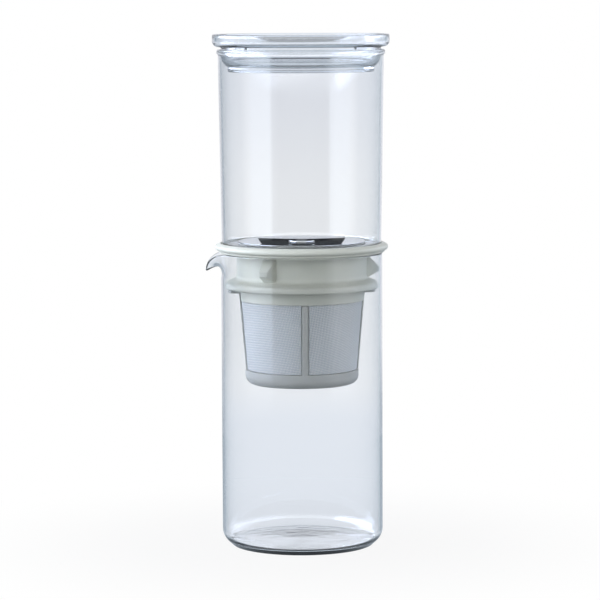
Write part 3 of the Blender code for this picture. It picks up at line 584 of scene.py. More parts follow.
def clear_acrylic(tree, finishes):
    """Injection-moulded acrylic: clear with a blue cast, and slightly softer reflections than glass."""
    place = node(tree, "ShaderNodeTexCoord").outputs["Object"]
    flow_size = 9 * MM
    flow = node(tree, "ShaderNodeTexNoise", {"Vector": place, "Scale": 1 / flow_size, "Detail": 1.0})
    bump = node(tree, "ShaderNodeBump", {"Strength": 1.0, "Distance": 0.01 * MM, "Height": flow})
    look = {"Roughness": 0.02, "IOR": 1.49, "Transmission Weight": 1.0}
    return node(
        tree, "ShaderNodeBsdfPrincipled", {"Base Color": rgba(finishes.acrylic), **look, "Normal": bump}
    )


def grained_polypropylene(tree, colour_written, grain_size):
    """Moulded polypropylene from a spark-eroded tool: a fine matt grain that breaks up the shine, and a
    colour that drifts a little with the flow of the plastic."""
    place = node(tree, "ShaderNodeTexCoord").outputs["Object"]
    flow_size = 30 * MM
    grain = node(tree, "ShaderNodeTexNoise", {"Vector": place, "Scale": 1 / grain_size, "Detail": 2.0})
    flow = node(tree, "ShaderNodeTexNoise", {"Vector": place, "Scale": 1 / flow_size, "Detail": 3.0})
    base = np.array(colour_written)
    tint = node(tree, "ShaderNodeMix", {0: flow, 6: rgba(base * 0.97), 7: rgba(base * 1.02)}, **COLOUR_MIX)
    polish = node(tree, "ShaderNodeMapRange", {"Value": grain, "To Min": 0.34, "To Max": 0.5})
    bump = node(tree, "ShaderNodeBump", {"Strength": 0.35, "Distance": 0.02 * MM, "Height": grain})
    return node(
        tree,
        "ShaderNodeBsdfPrincipled",
        {"Base Color": tint, "Roughness": polish, "IOR": 1.49, "Normal": bump},
    )


def collar_polypropylene(tree, finishes):
    """The collar's plastic, warm and pale."""
    return grained_polypropylene(tree, finishes.moulding, finishes.grain)


def frame_polypropylene_painted_shade(tree, finishes):
    """The strainer frame's plastic: its own more neutral grey, made a shade darker as painted shade on the
    lower parts.
    """
    return grained_polypropylene(tree, finishes.frame, finishes.grain)


def woven_polyester(tree, finishes):
    """Woven polyester filter mesh: round white threads over and under each other on the bias, with holes
    between them whose darker colour is painted shade, standing in for the shaded inside seen through them; a
    twentieth of the light passes the sheet. At a place (u, v) the height of the threads follows
    cos(2 pi u / weave) * cos(2 pi v / weave). The weave is drawn coarser than the real one so that it shows."""
    surface = node(tree, "ShaderNodeUVMap", uv_map="surface")
    bias = node(tree, "ShaderNodeMapping", {"Vector": surface, "Rotation": (0, 0, math.radians(38))})
    threads = []
    for axis in ("X", "Y"):
        place = node(tree, "ShaderNodeSeparateXYZ", {"Vector": bias}).outputs[axis]
        phase = node(tree, "ShaderNodeMath", {0: place, 1: math.tau / finishes.weave}, operation="MULTIPLY")
        threads.append(node(tree, "ShaderNodeMath", {0: phase}, operation="COSINE"))
    crossing = node(tree, "ShaderNodeMath", {0: threads[0], 1: threads[1]}, operation="MULTIPLY")
    height = node(tree, "ShaderNodeMapRange", {"Value": crossing, "From Min": -1.0, "From Max": 1.0})
    # Painted shade: the colour goes from the thread's white to the gap's grey where the threads dip
    tint = node(
        tree, "ShaderNodeMix", {0: height, 6: rgba(finishes.gap), 7: rgba(finishes.thread)}, **COLOUR_MIX
    )
    bump = node(tree, "ShaderNodeBump", {"Strength": 1.0, "Distance": 0.5 * MM, "Height": height})
    look = {"Roughness": 0.5, "IOR": 1.5, "Alpha": 0.95}
    return node(tree, "ShaderNodeBsdfPrincipled", {"Base Color": tint, **look, "Normal": bump})


def milky_silicone(tree, finishes):
    """Moulded silicone rubber: milky, matt and slightly uneven, with soft broad highlights."""
    place = node(tree, "ShaderNodeTexCoord").outputs["Object"]
    grain_size = 0.6 * MM
    grain = node(tree, "ShaderNodeTexNoise", {"Vector": place, "Scale": 1 / grain_size, "Detail": 2.0})
    bump = node(tree, "ShaderNodeBump", {"Strength": 0.3, "Distance": 0.03 * MM, "Height": grain})
    look = {"Roughness": 0.42, "IOR": 1.41}
    return node(
        tree, "ShaderNodeBsdfPrincipled", {"Base Color": rgba(finishes.silicone), **look, "Normal": bump}
    )


def polished_steel(tree, finishes):
    """Stainless steel, pressed and then polished as it turns: a mirror with faint rings round the axis."""
    place = node(tree, "ShaderNodeTexCoord").outputs["Object"]
    flat = node(tree, "ShaderNodeVectorMath", {0: place, 1: (1.0, 1.0, 0.0)}, operation="MULTIPLY")
    radius = node(tree, "ShaderNodeVectorMath", {0: flat}, operation="LENGTH")
    ring_spacing = 0.25 * MM
    spread = {"W": radius, "Scale": 1 / ring_spacing, "Detail": 1.0}
    rings = node(tree, "ShaderNodeTexNoise", spread, noise_dimensions="1D")
    shine = node(tree, "ShaderNodeMapRange", {"Value": rings, "To Min": 0.01, "To Max": 0.05})
    return node(
        tree,
        "ShaderNodeBsdfPrincipled",
        {"Base Color": rgba(finishes.steel), "Metallic": 1.0, "Roughness": shine},
    )


# Each finish: its slot, its material's name and the function that makes it
MATERIALS = {
    "glass": ("glass", "blown_borosilicate_glass_clear", clear_borosilicate),
    "acrylic": ("acrylic", "moulded_acrylic_clear", clear_acrylic),
    "moulding": ("moulding", "moulded_polypropylene_warm_grey", collar_polypropylene),
    # The frame's material is the collar's plastic in a more neutral grey, darkened as painted shade
    "frame": ("moulding", "moulded_polypropylene_grey_painted_shade", frame_polypropylene_painted_shade),
    "mesh": ("mesh", "woven_polyester_mesh_blue_white", woven_polyester),
    "silicone": ("silicone", "moulded_silicone_milky", milky_silicone),
    "steel": ("steel", "polished_stainless_steel", polished_steel),
}
made_materials = {}


def dressed(thing, finish, body, *nodes):
    """Gives a piece its finish and its body, and hides the CAD nodes that it stands for."""
    slot, name, surface = MATERIALS[finish]
    if finish not in made_materials:
        made_materials[finish] = finished(name, surface, bpy.context.scene.brewer_finishes)
    thing.data.materials.clear()
    thing.data.materials.append(made_materials[finish])
    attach(thing, body)
    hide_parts(*nodes)


def spout_middle(rise, pull, fall, sizes):
    """Middle of the glass in the spout, as (radius, height above the spout's foot), at a share of its depth.
    The centre line is the cubic curve 3 s (1-s)^2 A + 3 s^2 (1-s) B + s^3 C with its points in shares of the
    reach and depth. The pull takes its outward part, and the fall its change of height."""
    a, b, c = np.array(SPOUT_CURVE_SHARES) * (sizes.spout_reach, sizes.spout_depth)
    s = rise[..., None]
    curve = 3 * s * (1 - s) ** 2 * a + 3 * s**2 * (1 - s) * b + s**3 * c
    straight = rise * sizes.spout_depth
    radius = sizes.radius - sizes.wall / 2 + pull * curve[..., 0]
    return np.stack([radius, straight + fall * (curve[..., 1] - straight)], axis=-1)


def drawn_spout(points, sizes, foot):
    """Bends the upper wall into the spout. The pull fades as a cosine bell away from the spout's bearing,
    and the fall follows a quarter circle, so that the lips stay high until close to the tip. Each point
    keeps its distance from the middle of the glass, and the rim's round goes on along the end of the centre
    line."""
    radius = np.hypot(points[..., 0], points[..., 1])
    turn = np.arctan2(points[..., 1], -points[..., 0])
    rise = points[..., 2] - foot
    bell = 0.5 + 0.5 * np.cos(math.pi * turn / sizes.spout_half)
    pull = np.where(np.abs(turn) < sizes.spout_half, bell, 0)
    fall = 1 - np.sqrt(1 - np.clip(pull, 0, 1) ** 2)
    part = np.clip(rise / sizes.spout_depth, 0, 1)
    beyond = np.maximum(rise - sizes.spout_depth, 0)
    offset = radius - (sizes.radius - sizes.wall / 2)
    middle = spout_middle(part, pull, fall, sizes)
    before = spout_middle(np.clip(part - 0.01, 0, 1), pull, fall, sizes)
    after = spout_middle(np.clip(part + 0.01, 0, 1), pull, fall, sizes)
    along = (after - before) / np.linalg.norm(after - before, axis=-1, keepdims=True)
    new_radius = middle[..., 0] + offset * along[..., 1] + beyond * along[..., 0]
    new_height = foot + middle[..., 1] + beyond * along[..., 1] - offset * along[..., 0]
    bent = np.stack([-new_radius * np.cos(turn), new_radius * np.sin(turn), new_height], axis=-1)
    return np.where(((pull > 0) & (rise > 0))[..., None], bent, points)


def jug_surface(sizes):
    """Jug: an outline turned about the axis, with its wall cut fine where the spout is drawn. The heel is an
    arc of heel_turn and then a cone down to the foot, so that it catches less light in the floor than a full
    quarter round: inset of the foot = heel * (1 - cos t + (1 - sin t) * tan t)."""
    turn = sizes.heel_turn
    inset = sizes.heel * (1 - math.cos(turn) + (1 - math.sin(turn)) * math.tan(turn))
    inner = sizes.radius - sizes.wall
    edge = sizes.wall / 2
    foot = sizes.height - edge - sizes.spout_depth
    rows = outline(
        [
            (0, sizes.push_up, 0),
            (sizes.radius - inset, 0, 0.4 * MM),
            (sizes.radius, inset / math.tan(turn), sizes.heel),
            (sizes.radius, foot, 0),
            (sizes.radius, sizes.height, edge),
            (inner, sizes.height, edge),
            (inner, foot, 0),
            (inner, sizes.floor, sizes.corner),
            (0, sizes.floor, 0),
        ],
        closed=False,
        steps=14,
    )
    drawn = (rows[:-1, 1] > foot - WELD) & (rows[1:, 1] > foot - WELD)
    rows = divided(rows, longest=np.where(drawn, 0.6 * MM, 6 * MM))
    points = turned(rows, fine_angles(SPOUT_BEARING, half=30, fine=90, coarse=190))
    return shell(drawn_spout(points, sizes, foot), along=False)


def collar_rows(sizes):
    """Half section of the collar, from the flared lower flange up the neck and round the lip."""
    flare_top = -sizes.neck_length - math.tan(sizes.flare) * (sizes.flare_tip - sizes.neck)
    flange_top = sizes.deck + 1.05 * MM
    lip_outer = sizes.lip + 0.75 * MM
    taper = 1.0 * MM
    return [
        (sizes.flare_tip, -sizes.flare_low, sizes.flare_edge),
        (sizes.flare_tip, flare_top, sizes.flare_round),
        (sizes.neck, -sizes.neck_length, 3.0 * MM),
        (sizes.neck, 0, 2.0 * MM),
        (sizes.step, 0, 0.8 * MM),
        (sizes.step, sizes.step_height, 0.2 * MM),
        (sizes.flange, sizes.step_height, sizes.edge),
        (sizes.flange, flange_top, 1.65 * MM),
        (lip_outer, sizes.lip_height, 0.35 * MM),
        (sizes.lip, sizes.lip_height, 0.45 * MM),
        (sizes.lip, sizes.deck, 0.5 * MM),
        (sizes.bore, sizes.deck, 0.6 * MM),
        (sizes.bore, taper - sizes.flare_low, 0.5 * MM),
        (sizes.skirt_inner, -taper - sizes.flare_low, 0.5 * MM),
        (sizes.skirt_inner, -sizes.skirt_low, 0.48 * MM),
        (sizes.skirt, -sizes.skirt_low, 0.48 * MM),
        (sizes.skirt, -sizes.flare_low, 0.4 * MM),
    ]


def make_collar(sizes, seat):
    """The collar turned about the axis, with three fins joined on and two openings cut into its skirt."""
    rows = divided(outline(collar_rows(sizes)), longest=4 * MM)
    collar = turned_piece("collar_moulding", rows, ROUND, seat)
    tip = sizes.fin_tip
    tip_shoulder = tip - 1.2 * MM
    neck_shoulder = sizes.neck + 1.2 * MM
    root = sizes.neck - 1.0 * MM
    side_view = [
        (root, seat - 1.7 * MM, 0),
        (neck_shoulder, seat - 2.9 * MM, 0.8 * MM),
        (tip_shoulder, seat - 7.5 * MM, 0.8 * MM),
        (tip, seat - 8.7 * MM, 0.4 * MM),
        (tip, seat - 11.3 * MM, 0.4 * MM),
        (tip_shoulder, seat - 11.9 * MM, 0.8 * MM),
        (neck_shoulder, seat - 14.7 * MM, 0.8 * MM),
        (root, seat - 15.3 * MM, 0),
    ]

    def half_width(radius):
        """Half a fin's width: a straight taper from root to tip, and near the neck a flare that grows with
        the square of the way in."""
        taper = np.interp(radius, (sizes.neck, tip), (sizes.fin_root_width, sizes.fin_tip_width)) / 2
        flare = 0.6 * MM
        return taper + flare * np.clip((sizes.neck + 1.0 * MM - radius) / MM, 0, 1) ** 2

    fin = bar(side_view, half_width, 0.7 * MM)
    joined(collar, "fins", [standing(fin, bearing) for bearing in FIN_BEARINGS])
    top = seat - sizes.flare_low - CLEARANCE
    low = seat - sizes.skirt_low - 2 * MM
    window = rectangle(sizes.skirt_inner - 5 * MM, low, sizes.skirt + 1.5 * MM, top)
    notch = bar(window, sizes.notch / 2, 0.9 * MM)
    notches = [standing(notch, FRAME_BEARING + turn) for turn in (90, 270)]
    return joined(collar, "notches", notches, "DIFFERENCE")


def rib_radius(height, sizes):
    """Outer radius of the tapering ribs at a height below the top of the strainer."""
    base_top = sizes.base_height - sizes.length
    rib_top = -sizes.rib_drop
    return sizes.rib_top + (sizes.rib_top - sizes.base) * (height - rib_top) / (rib_top - base_top)


def make_strainer_frame(sizes, top):
    """The strainer's moulding: plug ring, base cup, four ribs, two finger ears and a cross in its floor."""
    base_top = sizes.base_height - sizes.length
    inner = sizes.ring - sizes.ring_wall
    ring_fillets = (0.4 * MM, 0.3 * MM, 0.5 * MM, 0.5 * MM)
    ring = rectangle(inner, -sizes.ring_height, sizes.ring, 0, ring_fillets)
    ledge = sizes.base - sizes.base_wall - sizes.ledge
    cup = [
        (ledge, -sizes.length, 0.4 * MM),
        (sizes.base, -sizes.length, sizes.base_corner),
        (sizes.base, base_top, 0.5 * MM),
        (sizes.base - sizes.base_wall, base_top, 0.5 * MM),
        (sizes.base - sizes.base_wall, sizes.base_wall - sizes.length, 1.5 * MM),
        (ledge, sizes.base_wall - sizes.length, 0.4 * MM),
    ]
    rings = (shell(turned(outline(corners), even_angles(STRAINER_ROUND), top)) for corners in (ring, cup))
    moulding = build("strainer_moulding", *rings)
    rib_foot = base_top - 1.5 * MM
    side_rib_drop = 1.2 * MM
    rib_inner = sizes.rib_top - sizes.rib_depth

    def rib(high):
        """A rib that leans in from a height down to the base cup."""
        side_view = [
            (rib_radius(rib_foot, sizes) - 0.2 * MM, top + rib_foot, 0),
            (rib_radius(high, sizes), top + high, 0.5 * MM),
            (rib_inner, top + high, 0.2 * MM),
            (rib_radius(rib_foot, sizes) - sizes.rib_depth + 0.3 * MM, top + rib_foot, 0),
        ]
        return bar(side_view, sizes.rib_width / 2, 0.6 * MM)

    front = rib(-sizes.rib_drop)
    side = rib(-side_rib_drop)
    for local, turn in ((front, 0), (side, 90), (front, 180), (side, 270)):
        joined(moulding, "rib", [standing(local, FRAME_BEARING + turn)])
    tongue_view = rectangle(
        rib_inner - 0.1 * MM,
        top - sizes.rib_drop - 1.2 * MM,
        sizes.ring - 0.3 * MM,
        top - sizes.ring_height + 0.8 * MM,
    )
    tongue = bar(tongue_view, sizes.rib_width / 2 - 0.2 * MM, 0.1 * MM)
    joined(moulding, "tongues", [standing(tongue, FRAME_BEARING + turn) for turn in (0, 180)])
    half = sizes.ear_width / 2
    root = math.sqrt((sizes.ring - sizes.ring_wall / 2) ** 2 - half**2)
    ear_view = rectangle(root, -half, sizes.ear_reach, half, (0, sizes.ear_corner, sizes.ear_corner, 0))
    ear = bar(ear_view, sizes.ear_thickness / 2, 0.8 * MM)
    ear_drop = 0.2 * MM
    ear_middle = top - ear_drop - sizes.ear_thickness / 2
    joined(moulding, "ears", [lying(ear, FRAME_BEARING + turn, ear_middle) for turn in (90, 270)])
    reach = sizes.base - sizes.base_corner
    spoke_view = rectangle(-reach, -sizes.spoke / 2, reach, sizes.spoke / 2)
    spoke_inset = 0.2 * MM
    spoke = bar(spoke_view, sizes.base_wall / 2 - spoke_inset, 0.4 * MM)
    spoke_middle = top - sizes.length + sizes.base_wall / 2
    for turn in (0, 90):
        joined(moulding, "spoke", [lying(spoke, FRAME_BEARING + turn, spoke_middle)])
    return moulding


def make_side_mesh(sizes, top, panel):
    """One conical panel of the side mesh, a closed thin sheet in its window. Its surface coordinates are the
    way round at the ribs' upper radius and the height, both in metres."""
    high = -sizes.ring_height - CLEARANCE
    low = sizes.base_height - sizes.length + CLEARANCE
    heights = np.linspace(low, high, PANEL_ROWS)
    loop_height = np.concatenate([heights, heights[::-1]])
    depth = np.repeat([0, sizes.mesh_thickness], len(heights))
    radius = rib_radius(loop_height, sizes) - sizes.mesh_setback - depth
    edge = np.arcsin((sizes.rib_width / 2 + CLEARANCE) / radius)
    window = math.tau / WINDOWS
    part = np.linspace(0, 1, PANEL_COLUMNS)[:, None]
    turn = math.radians(FRAME_BEARING) + window * panel + edge + part * (window - 2 * edge)
    height = top + loop_height + 0 * turn
    place = [radius * np.sin(turn), -radius * np.cos(turn), height]
    points = np.stack([*place, turn * sizes.rib_top, height], axis=-1)
    closed = capped(points.swapaxes(0, 1)).swapaxes(0, 1)
    return build(f"side_mesh_{panel + 1}", shell(closed[..., :3], around=False), uv=closed[..., 3:])


def make_floor_mesh(sizes, top):
    """The mesh disc on the ledge and the cross, a closed thin sheet with plan coordinates in metres."""
    radius = sizes.base - sizes.base_wall - 1.8 * MM
    low = top - sizes.length + sizes.base_wall + CLEARANCE
    high = low + sizes.mesh_thickness
    rows = divided(np.array([(0, low), (radius, low), (radius, high), (0, high)]), longest=1.5 * MM)
    points = turned(rows, even_angles(DISC_ROUND))
    return build("floor_mesh", shell(points, along=False), uv=points[..., :2])


def water_glass_rows(sizes, height):
    """Half section of the water glass: floor with its hole, wall that widens upwards, and beaded rim."""
    shoulder = height - 3.3 * MM
    bead_low = shoulder + 0.9 * MM
    return [
        (sizes.hole, 0, 0.6 * MM),
        (sizes.bottom, 0, sizes.corner),
        (sizes.top, shoulder, 1.0 * MM),
        (sizes.rim, bead_low, 0.9 * MM),
        (sizes.rim, height, sizes.bead),
        (sizes.rim - 2.02 * sizes.bead, height, sizes.bead),
        (sizes.top - sizes.wall, shoulder, 2.0 * MM),
        (sizes.bottom - sizes.wall, sizes.wall, sizes.corner - sizes.wall),
        (sizes.hole, sizes.wall, 0.6 * MM),
    ]


def gasket_rows(hole, wall):
    """Half section of the U-shaped gasket round the hole in the water glass's floor."""
    web = hole - CLEARANCE
    web_inner = web - 0.9 * MM
    lower_lip = hole + 1.4 * MM
    upper_lip = hole + 3.1 * MM
    low = -1.1 * MM
    high = wall + 0.8 * MM
    return [
        (web_inner, low, 0.25 * MM),
        (lower_lip, low, 0.35 * MM),
        (lower_lip, -CLEARANCE, 0.2 * MM),
        (web, -CLEARANCE, 0.2 * MM),
        (web, wall + CLEARANCE, 0.2 * MM),
        (upper_lip, wall + CLEARANCE, 0.15 * MM),
        (upper_lip, high, 0.25 * MM),
        (web_inner, high, 0.25 * MM),
    ]


def plate_rows(sizes):
    """Half section of the pressed plate, from its flat rim down the shallow dish, with the plug collar."""
    shoulder = sizes.plug + 0.6 * MM
    hub = sizes.head + 0.5 * MM
    hole = sizes.stem + CLEARANCE
    plug_inner = sizes.plug - 0.6 * MM

    def dished(first, last, brim, lift):
        """Corners along the dish, whose depth falls with the square of the radius from hub to brim."""
        radius = np.linspace(first, last, 17)
        depth = sizes.dish * (1 - np.clip((radius**2 - hub**2) / (brim**2 - hub**2), 0, 1))
        return [(r, lift - z, 0) for r, z in zip(radius.tolist(), depth.tolist())]

    return [
        (sizes.plate, 0, 0.2 * MM),
        (sizes.plate, sizes.sheet, 0.2 * MM),
        *dished(sizes.plate - 0.3 * MM, hub, sizes.plate, sizes.sheet),
        (hole, sizes.sheet - sizes.dish, 0.1 * MM),
        (hole, -sizes.dish, 0.1 * MM),
        *dished(hub, plug_inner, shoulder, 0),
        (plug_inner, -sizes.plug_depth, 0.28 * MM),
        (sizes.plug, -sizes.plug_depth, 0.28 * MM),
        (sizes.plug, 0, 0.3 * MM),
    ]


def nozzle_surface(sizes, low, under, high):
    """Turned nozzle. Its stem carries a thread: r = stem - depth * (1 - cos(2 pi z / pitch - a)) / 2."""
    tip_height = low + 3.0 * MM
    cup_brim = 3.0 * MM
    cup_floor = 2.5 * MM
    cup_low = high - 0.5 * MM
    rows = outline(
        [
            (sizes.bore, low, 0.1 * MM),
            (sizes.stem - 1.4 * MM, low, 0.25 * MM),
            (sizes.stem, tip_height, 0.3 * MM),
            (sizes.stem, under, 0.15 * MM),
            (sizes.head, under, 0.25 * MM),
            (sizes.head, high, 0.5 * MM),
            (cup_brim, high, 0.4 * MM),
            (cup_floor, cup_low, 0.2 * MM),
            (sizes.bore, cup_low, 0.1 * MM),
        ],
        steps=5,
    )
    rows = np.vstack([rows, rows[:1]])
    near_stem = np.abs(rows[:-1, 0] - sizes.stem) < 0.4 * MM
    thread_step = 0.08 * MM
    rows = divided(rows, longest=np.where(near_stem, thread_step, 3 * MM))[:-1]
    angles = even_angles(SMALL_ROUND)
    points = turned(rows, angles)
    height = points[..., 2]
    ends = np.clip((height - low - 3.4 * MM) / MM, 0, 1) * np.clip((under - 1.0 * MM - height) / MM, 0, 1)
    on_stem = np.abs(rows[None, :, 0] - sizes.stem) < 0.05 * MM
    wave = 0.5 - 0.5 * np.cos(math.tau * height / sizes.pitch - np.radians(angles)[:, None])
    shrink = 1 - on_stem * ends * wave * sizes.thread / sizes.stem
    points[..., :2] *= shrink[..., None]
    return shell(points)


def nut_surface(sizes, low, high):
    """Hex nut: at each angle the radius is the lesser of the hexagon, flat / cos(angle from the flat), and
    of the chamfer cone, which leaves each face at 30 degrees."""
    angles = even_angles(NUT_ROUND)
    flat = sizes.nut / 2
    hexagon = flat / np.cos(np.radians((angles + 30) % 60 - 30))[:, None]
    heights = np.linspace(low, high, 25)
    chamfer_start = 0.94 * flat
    cone = chamfer_start + np.minimum(heights - low, high - heights) * math.sqrt(3)
    side = np.minimum(hexagon, cone[None])
    bore = sizes.stem + CLEARANCE
    bevel = 0.4 * MM
    inside = np.array([(bore + bevel, high), (bore, high - bevel), (bore, low + bevel), (bore + bevel, low)])
    radius = np.hstack([side, np.repeat(inside[None, :, 0], len(angles), axis=0)])
    height = np.concatenate([heights, inside[:, 1]])[None] + 0 * radius
    a = np.radians(angles)[:, None]
    return shell(np.stack([radius * np.sin(a), -radius * np.cos(a), height], axis=-1))


def lid_rows(sizes):
    """Half section of the lid, from the middle of its underside round the foot ring, the plug and the rim to
    the middle of the dish. The plug's corner is an arc round (centre, bottom + plug_corner)."""
    under = sizes.nub
    bottom = under - sizes.plug_depth
    floor = bottom + sizes.floor
    flange_top = under + sizes.flange
    rim_top = under + sizes.rim_height
    rim_inner = sizes.radius - sizes.rim_wall
    centre = sizes.plug - sizes.plug_corner
    start = math.acos((sizes.foot - centre) / sizes.plug_corner)
    turn = np.linspace(-start, 0, 16)
    foot_inner = sizes.foot - sizes.foot_wall
    below = [
        (0, bottom, 0),
        (foot_inner, bottom, 0.4 * MM),
        (foot_inner, bottom - sizes.foot_height, 0.6 * MM),
        (sizes.foot, bottom - sizes.foot_height, 0.6 * MM),
        (sizes.foot, bottom + sizes.plug_corner * (1 - math.sin(start)), 0),
    ]
    arc_radius = centre + sizes.plug_corner * np.cos(turn)
    arc = np.stack([arc_radius, bottom + sizes.plug_corner * (1 + np.sin(turn))], axis=-1)
    dish = sizes.plug - sizes.wall
    above = [
        (sizes.plug, bottom + sizes.plug_corner, 0),
        (sizes.plug, under, 1.2 * MM),
        (sizes.radius, under, sizes.rim_corner),
        (sizes.radius, rim_top, 1.0 * MM),
        (rim_inner, rim_top, 1.0 * MM),
        (rim_inner, flange_top, 0.8 * MM),
        (dish, flange_top, 1.0 * MM),
        (dish, floor, sizes.plug_corner - sizes.wall),
        (0, floor, 0),
    ]
    return np.vstack([outline(below, closed=False), arc[1:-1], outline(above, closed=False, steps=10)])


def make_lid(sizes, seat, rim, bead):
    """The lid turned about the axis, with four low spacers joined on under its flange."""
    rows = divided(lid_rows(sizes), longest=4 * MM)
    lid = turned_piece("lid_acrylic", rows, ROUND, seat, along=False)
    half = sizes.nub_length / 2
    nub_view = rectangle(rim - 2 * bead, -half, rim, half, 0.5 * MM)
    sunk = 0.6 * MM
    thickness = sizes.nub + sunk
    nub = bar(nub_view, thickness / 2, 0.25 * MM)
    nubs = [lying(nub, bearing, seat + thickness / 2) for bearing in NUB_BEARINGS]
    return joined(lid, "nubs", nubs)


class BREWER_OT_jug(bpy.types.Operator):
    """Makes the glass jug with its spout"""

    bl_idname = "brewer.jug"
    bl_label = "Jug"
    bl_options = {"REGISTER", "UNDO"}

    def execute(self, context):
        jug = build("jug_glass", jug_surface(context.scene.brewer_jug))
        dressed(jug, "glass", "server", "server")
        return {"FINISHED"}


class BREWER_OT_collar(bpy.types.Operator):
    """Makes the moulded collar that hangs in the jug's mouth"""

    bl_idname = "brewer.collar"
    bl_label = "Collar"
    bl_options = {"REGISTER", "UNDO"}

    def execute(self, context):
        sizes = context.scene.brewer_collar
        collar = make_collar(sizes, top_of("collar") - sizes.lip_height)
        dressed(collar, "moulding", "dripper", "collar")
        return {"FINISHED"}


class BREWER_OT_strainer(bpy.types.Operator):
    """Makes the strainer's moulding and the woven mesh in its sides and floor"""

    bl_idname = "brewer.strainer"
    bl_label = "Strainer"
    bl_options = {"REGISTER", "UNDO"}

    def execute(self, context):
        sizes = context.scene.brewer_strainer
        top = top_of("strainer_frame")
        dressed(make_strainer_frame(sizes, top), "frame", "strainer", "strainer_frame")
        for panel in range(WINDOWS):
            sheet = make_side_mesh(sizes, top, panel)
            dressed(sheet, "mesh", "strainer", f"strainer_side_mesh_{panel + 1}")
        dressed(make_floor_mesh(sizes, top), "mesh", "strainer", "strainer_floor_mesh")
        return {"FINISHED"}


class BREWER_OT_water_glass(bpy.types.Operator):
    """Makes the open water glass and the silicone gasket in its floor"""

    bl_idname = "brewer.water_glass"
    bl_label = "Water glass"
    bl_options = {"REGISTER", "UNDO"}

    def execute(self, context):
        sizes = context.scene.brewer_water_glass
        seat = low_of("upper_glass")
        height = top_of("upper_glass") - seat
        rows = divided(outline(water_glass_rows(sizes, height), steps=12), longest=6 * MM)
        glass = turned_piece("water_glass", rows, ROUND, seat)
        dressed(glass, "glass", "water_glass", "upper_glass")
        rows = outline(gasket_rows(sizes.hole, sizes.wall))
        ring = turned_piece("gasket_ring", rows, GASKET_ROUND, seat)
        dressed(ring, "silicone", "water_glass", "plate_gasket")
        return {"FINISHED"}


class BREWER_OT_drip(bpy.types.Operator):
    """Makes the steel drip plate, its nozzle, the nut below and the seal between them"""

    bl_idname = "brewer.drip"
    bl_label = "Drip unit"
    bl_options = {"REGISTER", "UNDO"}

    def execute(self, context):
        sizes = context.scene.brewer_drip
        seat = top_of("drip_plate") - sizes.sheet
        rows = divided(outline(plate_rows(sizes)), longest=1.5 * MM)
        plate = turned_piece("drip_plate_steel", rows, ROUND, seat)
        dressed(plate, "steel", "drip_unit", "drip_plate")
        head_low = seat + sizes.sheet - sizes.dish + CLEARANCE
        surface = nozzle_surface(sizes, low_of("drip_nozzle"), head_low, top_of("drip_nozzle"))
        dressed(build("nozzle_steel", surface), "steel", "drip_unit", "drip_nozzle")
        nut = build("nut_steel", nut_surface(sizes, low_of("nozzle_nut"), top_of("nozzle_nut")))
        dressed(nut, "steel", "drip_unit", "nozzle_nut")
        hole = sizes.stem + CLEARANCE
        seal_ends = low_of("nozzle_seal"), top_of("nozzle_seal")
        washer = rectangle(hole, seal_ends[0], reach_of("nozzle_seal"), seal_ends[1], 0.25 * MM)
        seal = turned_piece("seal_washer", outline(washer), SMALL_ROUND)
        dressed(seal, "silicone", "drip_unit", "nozzle_seal")
        return {"FINISHED"}


class BREWER_OT_lid(bpy.types.Operator):
    """Makes the clear dish-shaped lid"""

    bl_idname = "brewer.lid"
    bl_label = "Lid"
    bl_options = {"REGISTER", "UNDO"}

    def execute(self, context):
        sizes = context.scene.brewer_lid
        glass = context.scene.brewer_water_glass
        seat = top_of("lid") - sizes.nub - sizes.rim_height
        dressed(make_lid(sizes, seat, glass.rim, glass.bead), "acrylic", "lid", "lid")
        return {"FINISHED"}


def rays_that(tree, *tests):
    """1 for rays that pass both tests, and 0 for all others. A test is a depth of the ray's path, such as
    how many mirrors it has met, how that is compared, and a limit halfway between two counts."""
    path = node(tree, "ShaderNodeLightPath")
    passed = [
        node(tree, "ShaderNodeMath", {0: path.outputs[depth], 1: limit}, operation=how)
        for depth, how, limit in tests
    ]
    return node(tree, "ShaderNodeMath", {0: passed[0], 1: passed[1]}, operation="MULTIPLY")


def seen_through_glass(tree):
    """1 for a ray that has only been bent by glass since it left the camera, and 0 for all others."""
    path = node(tree, "ShaderNodeLightPath")
    depths = {0: path.outputs["Diffuse Depth"], 1: path.outputs["Glossy Depth"]}
    bounced = node(tree, "ShaderNodeMath", depths, operation="ADD")
    straight = node(tree, "ShaderNodeMath", {0: bounced, 1: 0.5}, operation="LESS_THAN")
    bent = path.outputs["Is Transmission Ray"]
    return node(tree, "ShaderNodeMath", {0: bent, 1: straight}, operation="MULTIPLY")


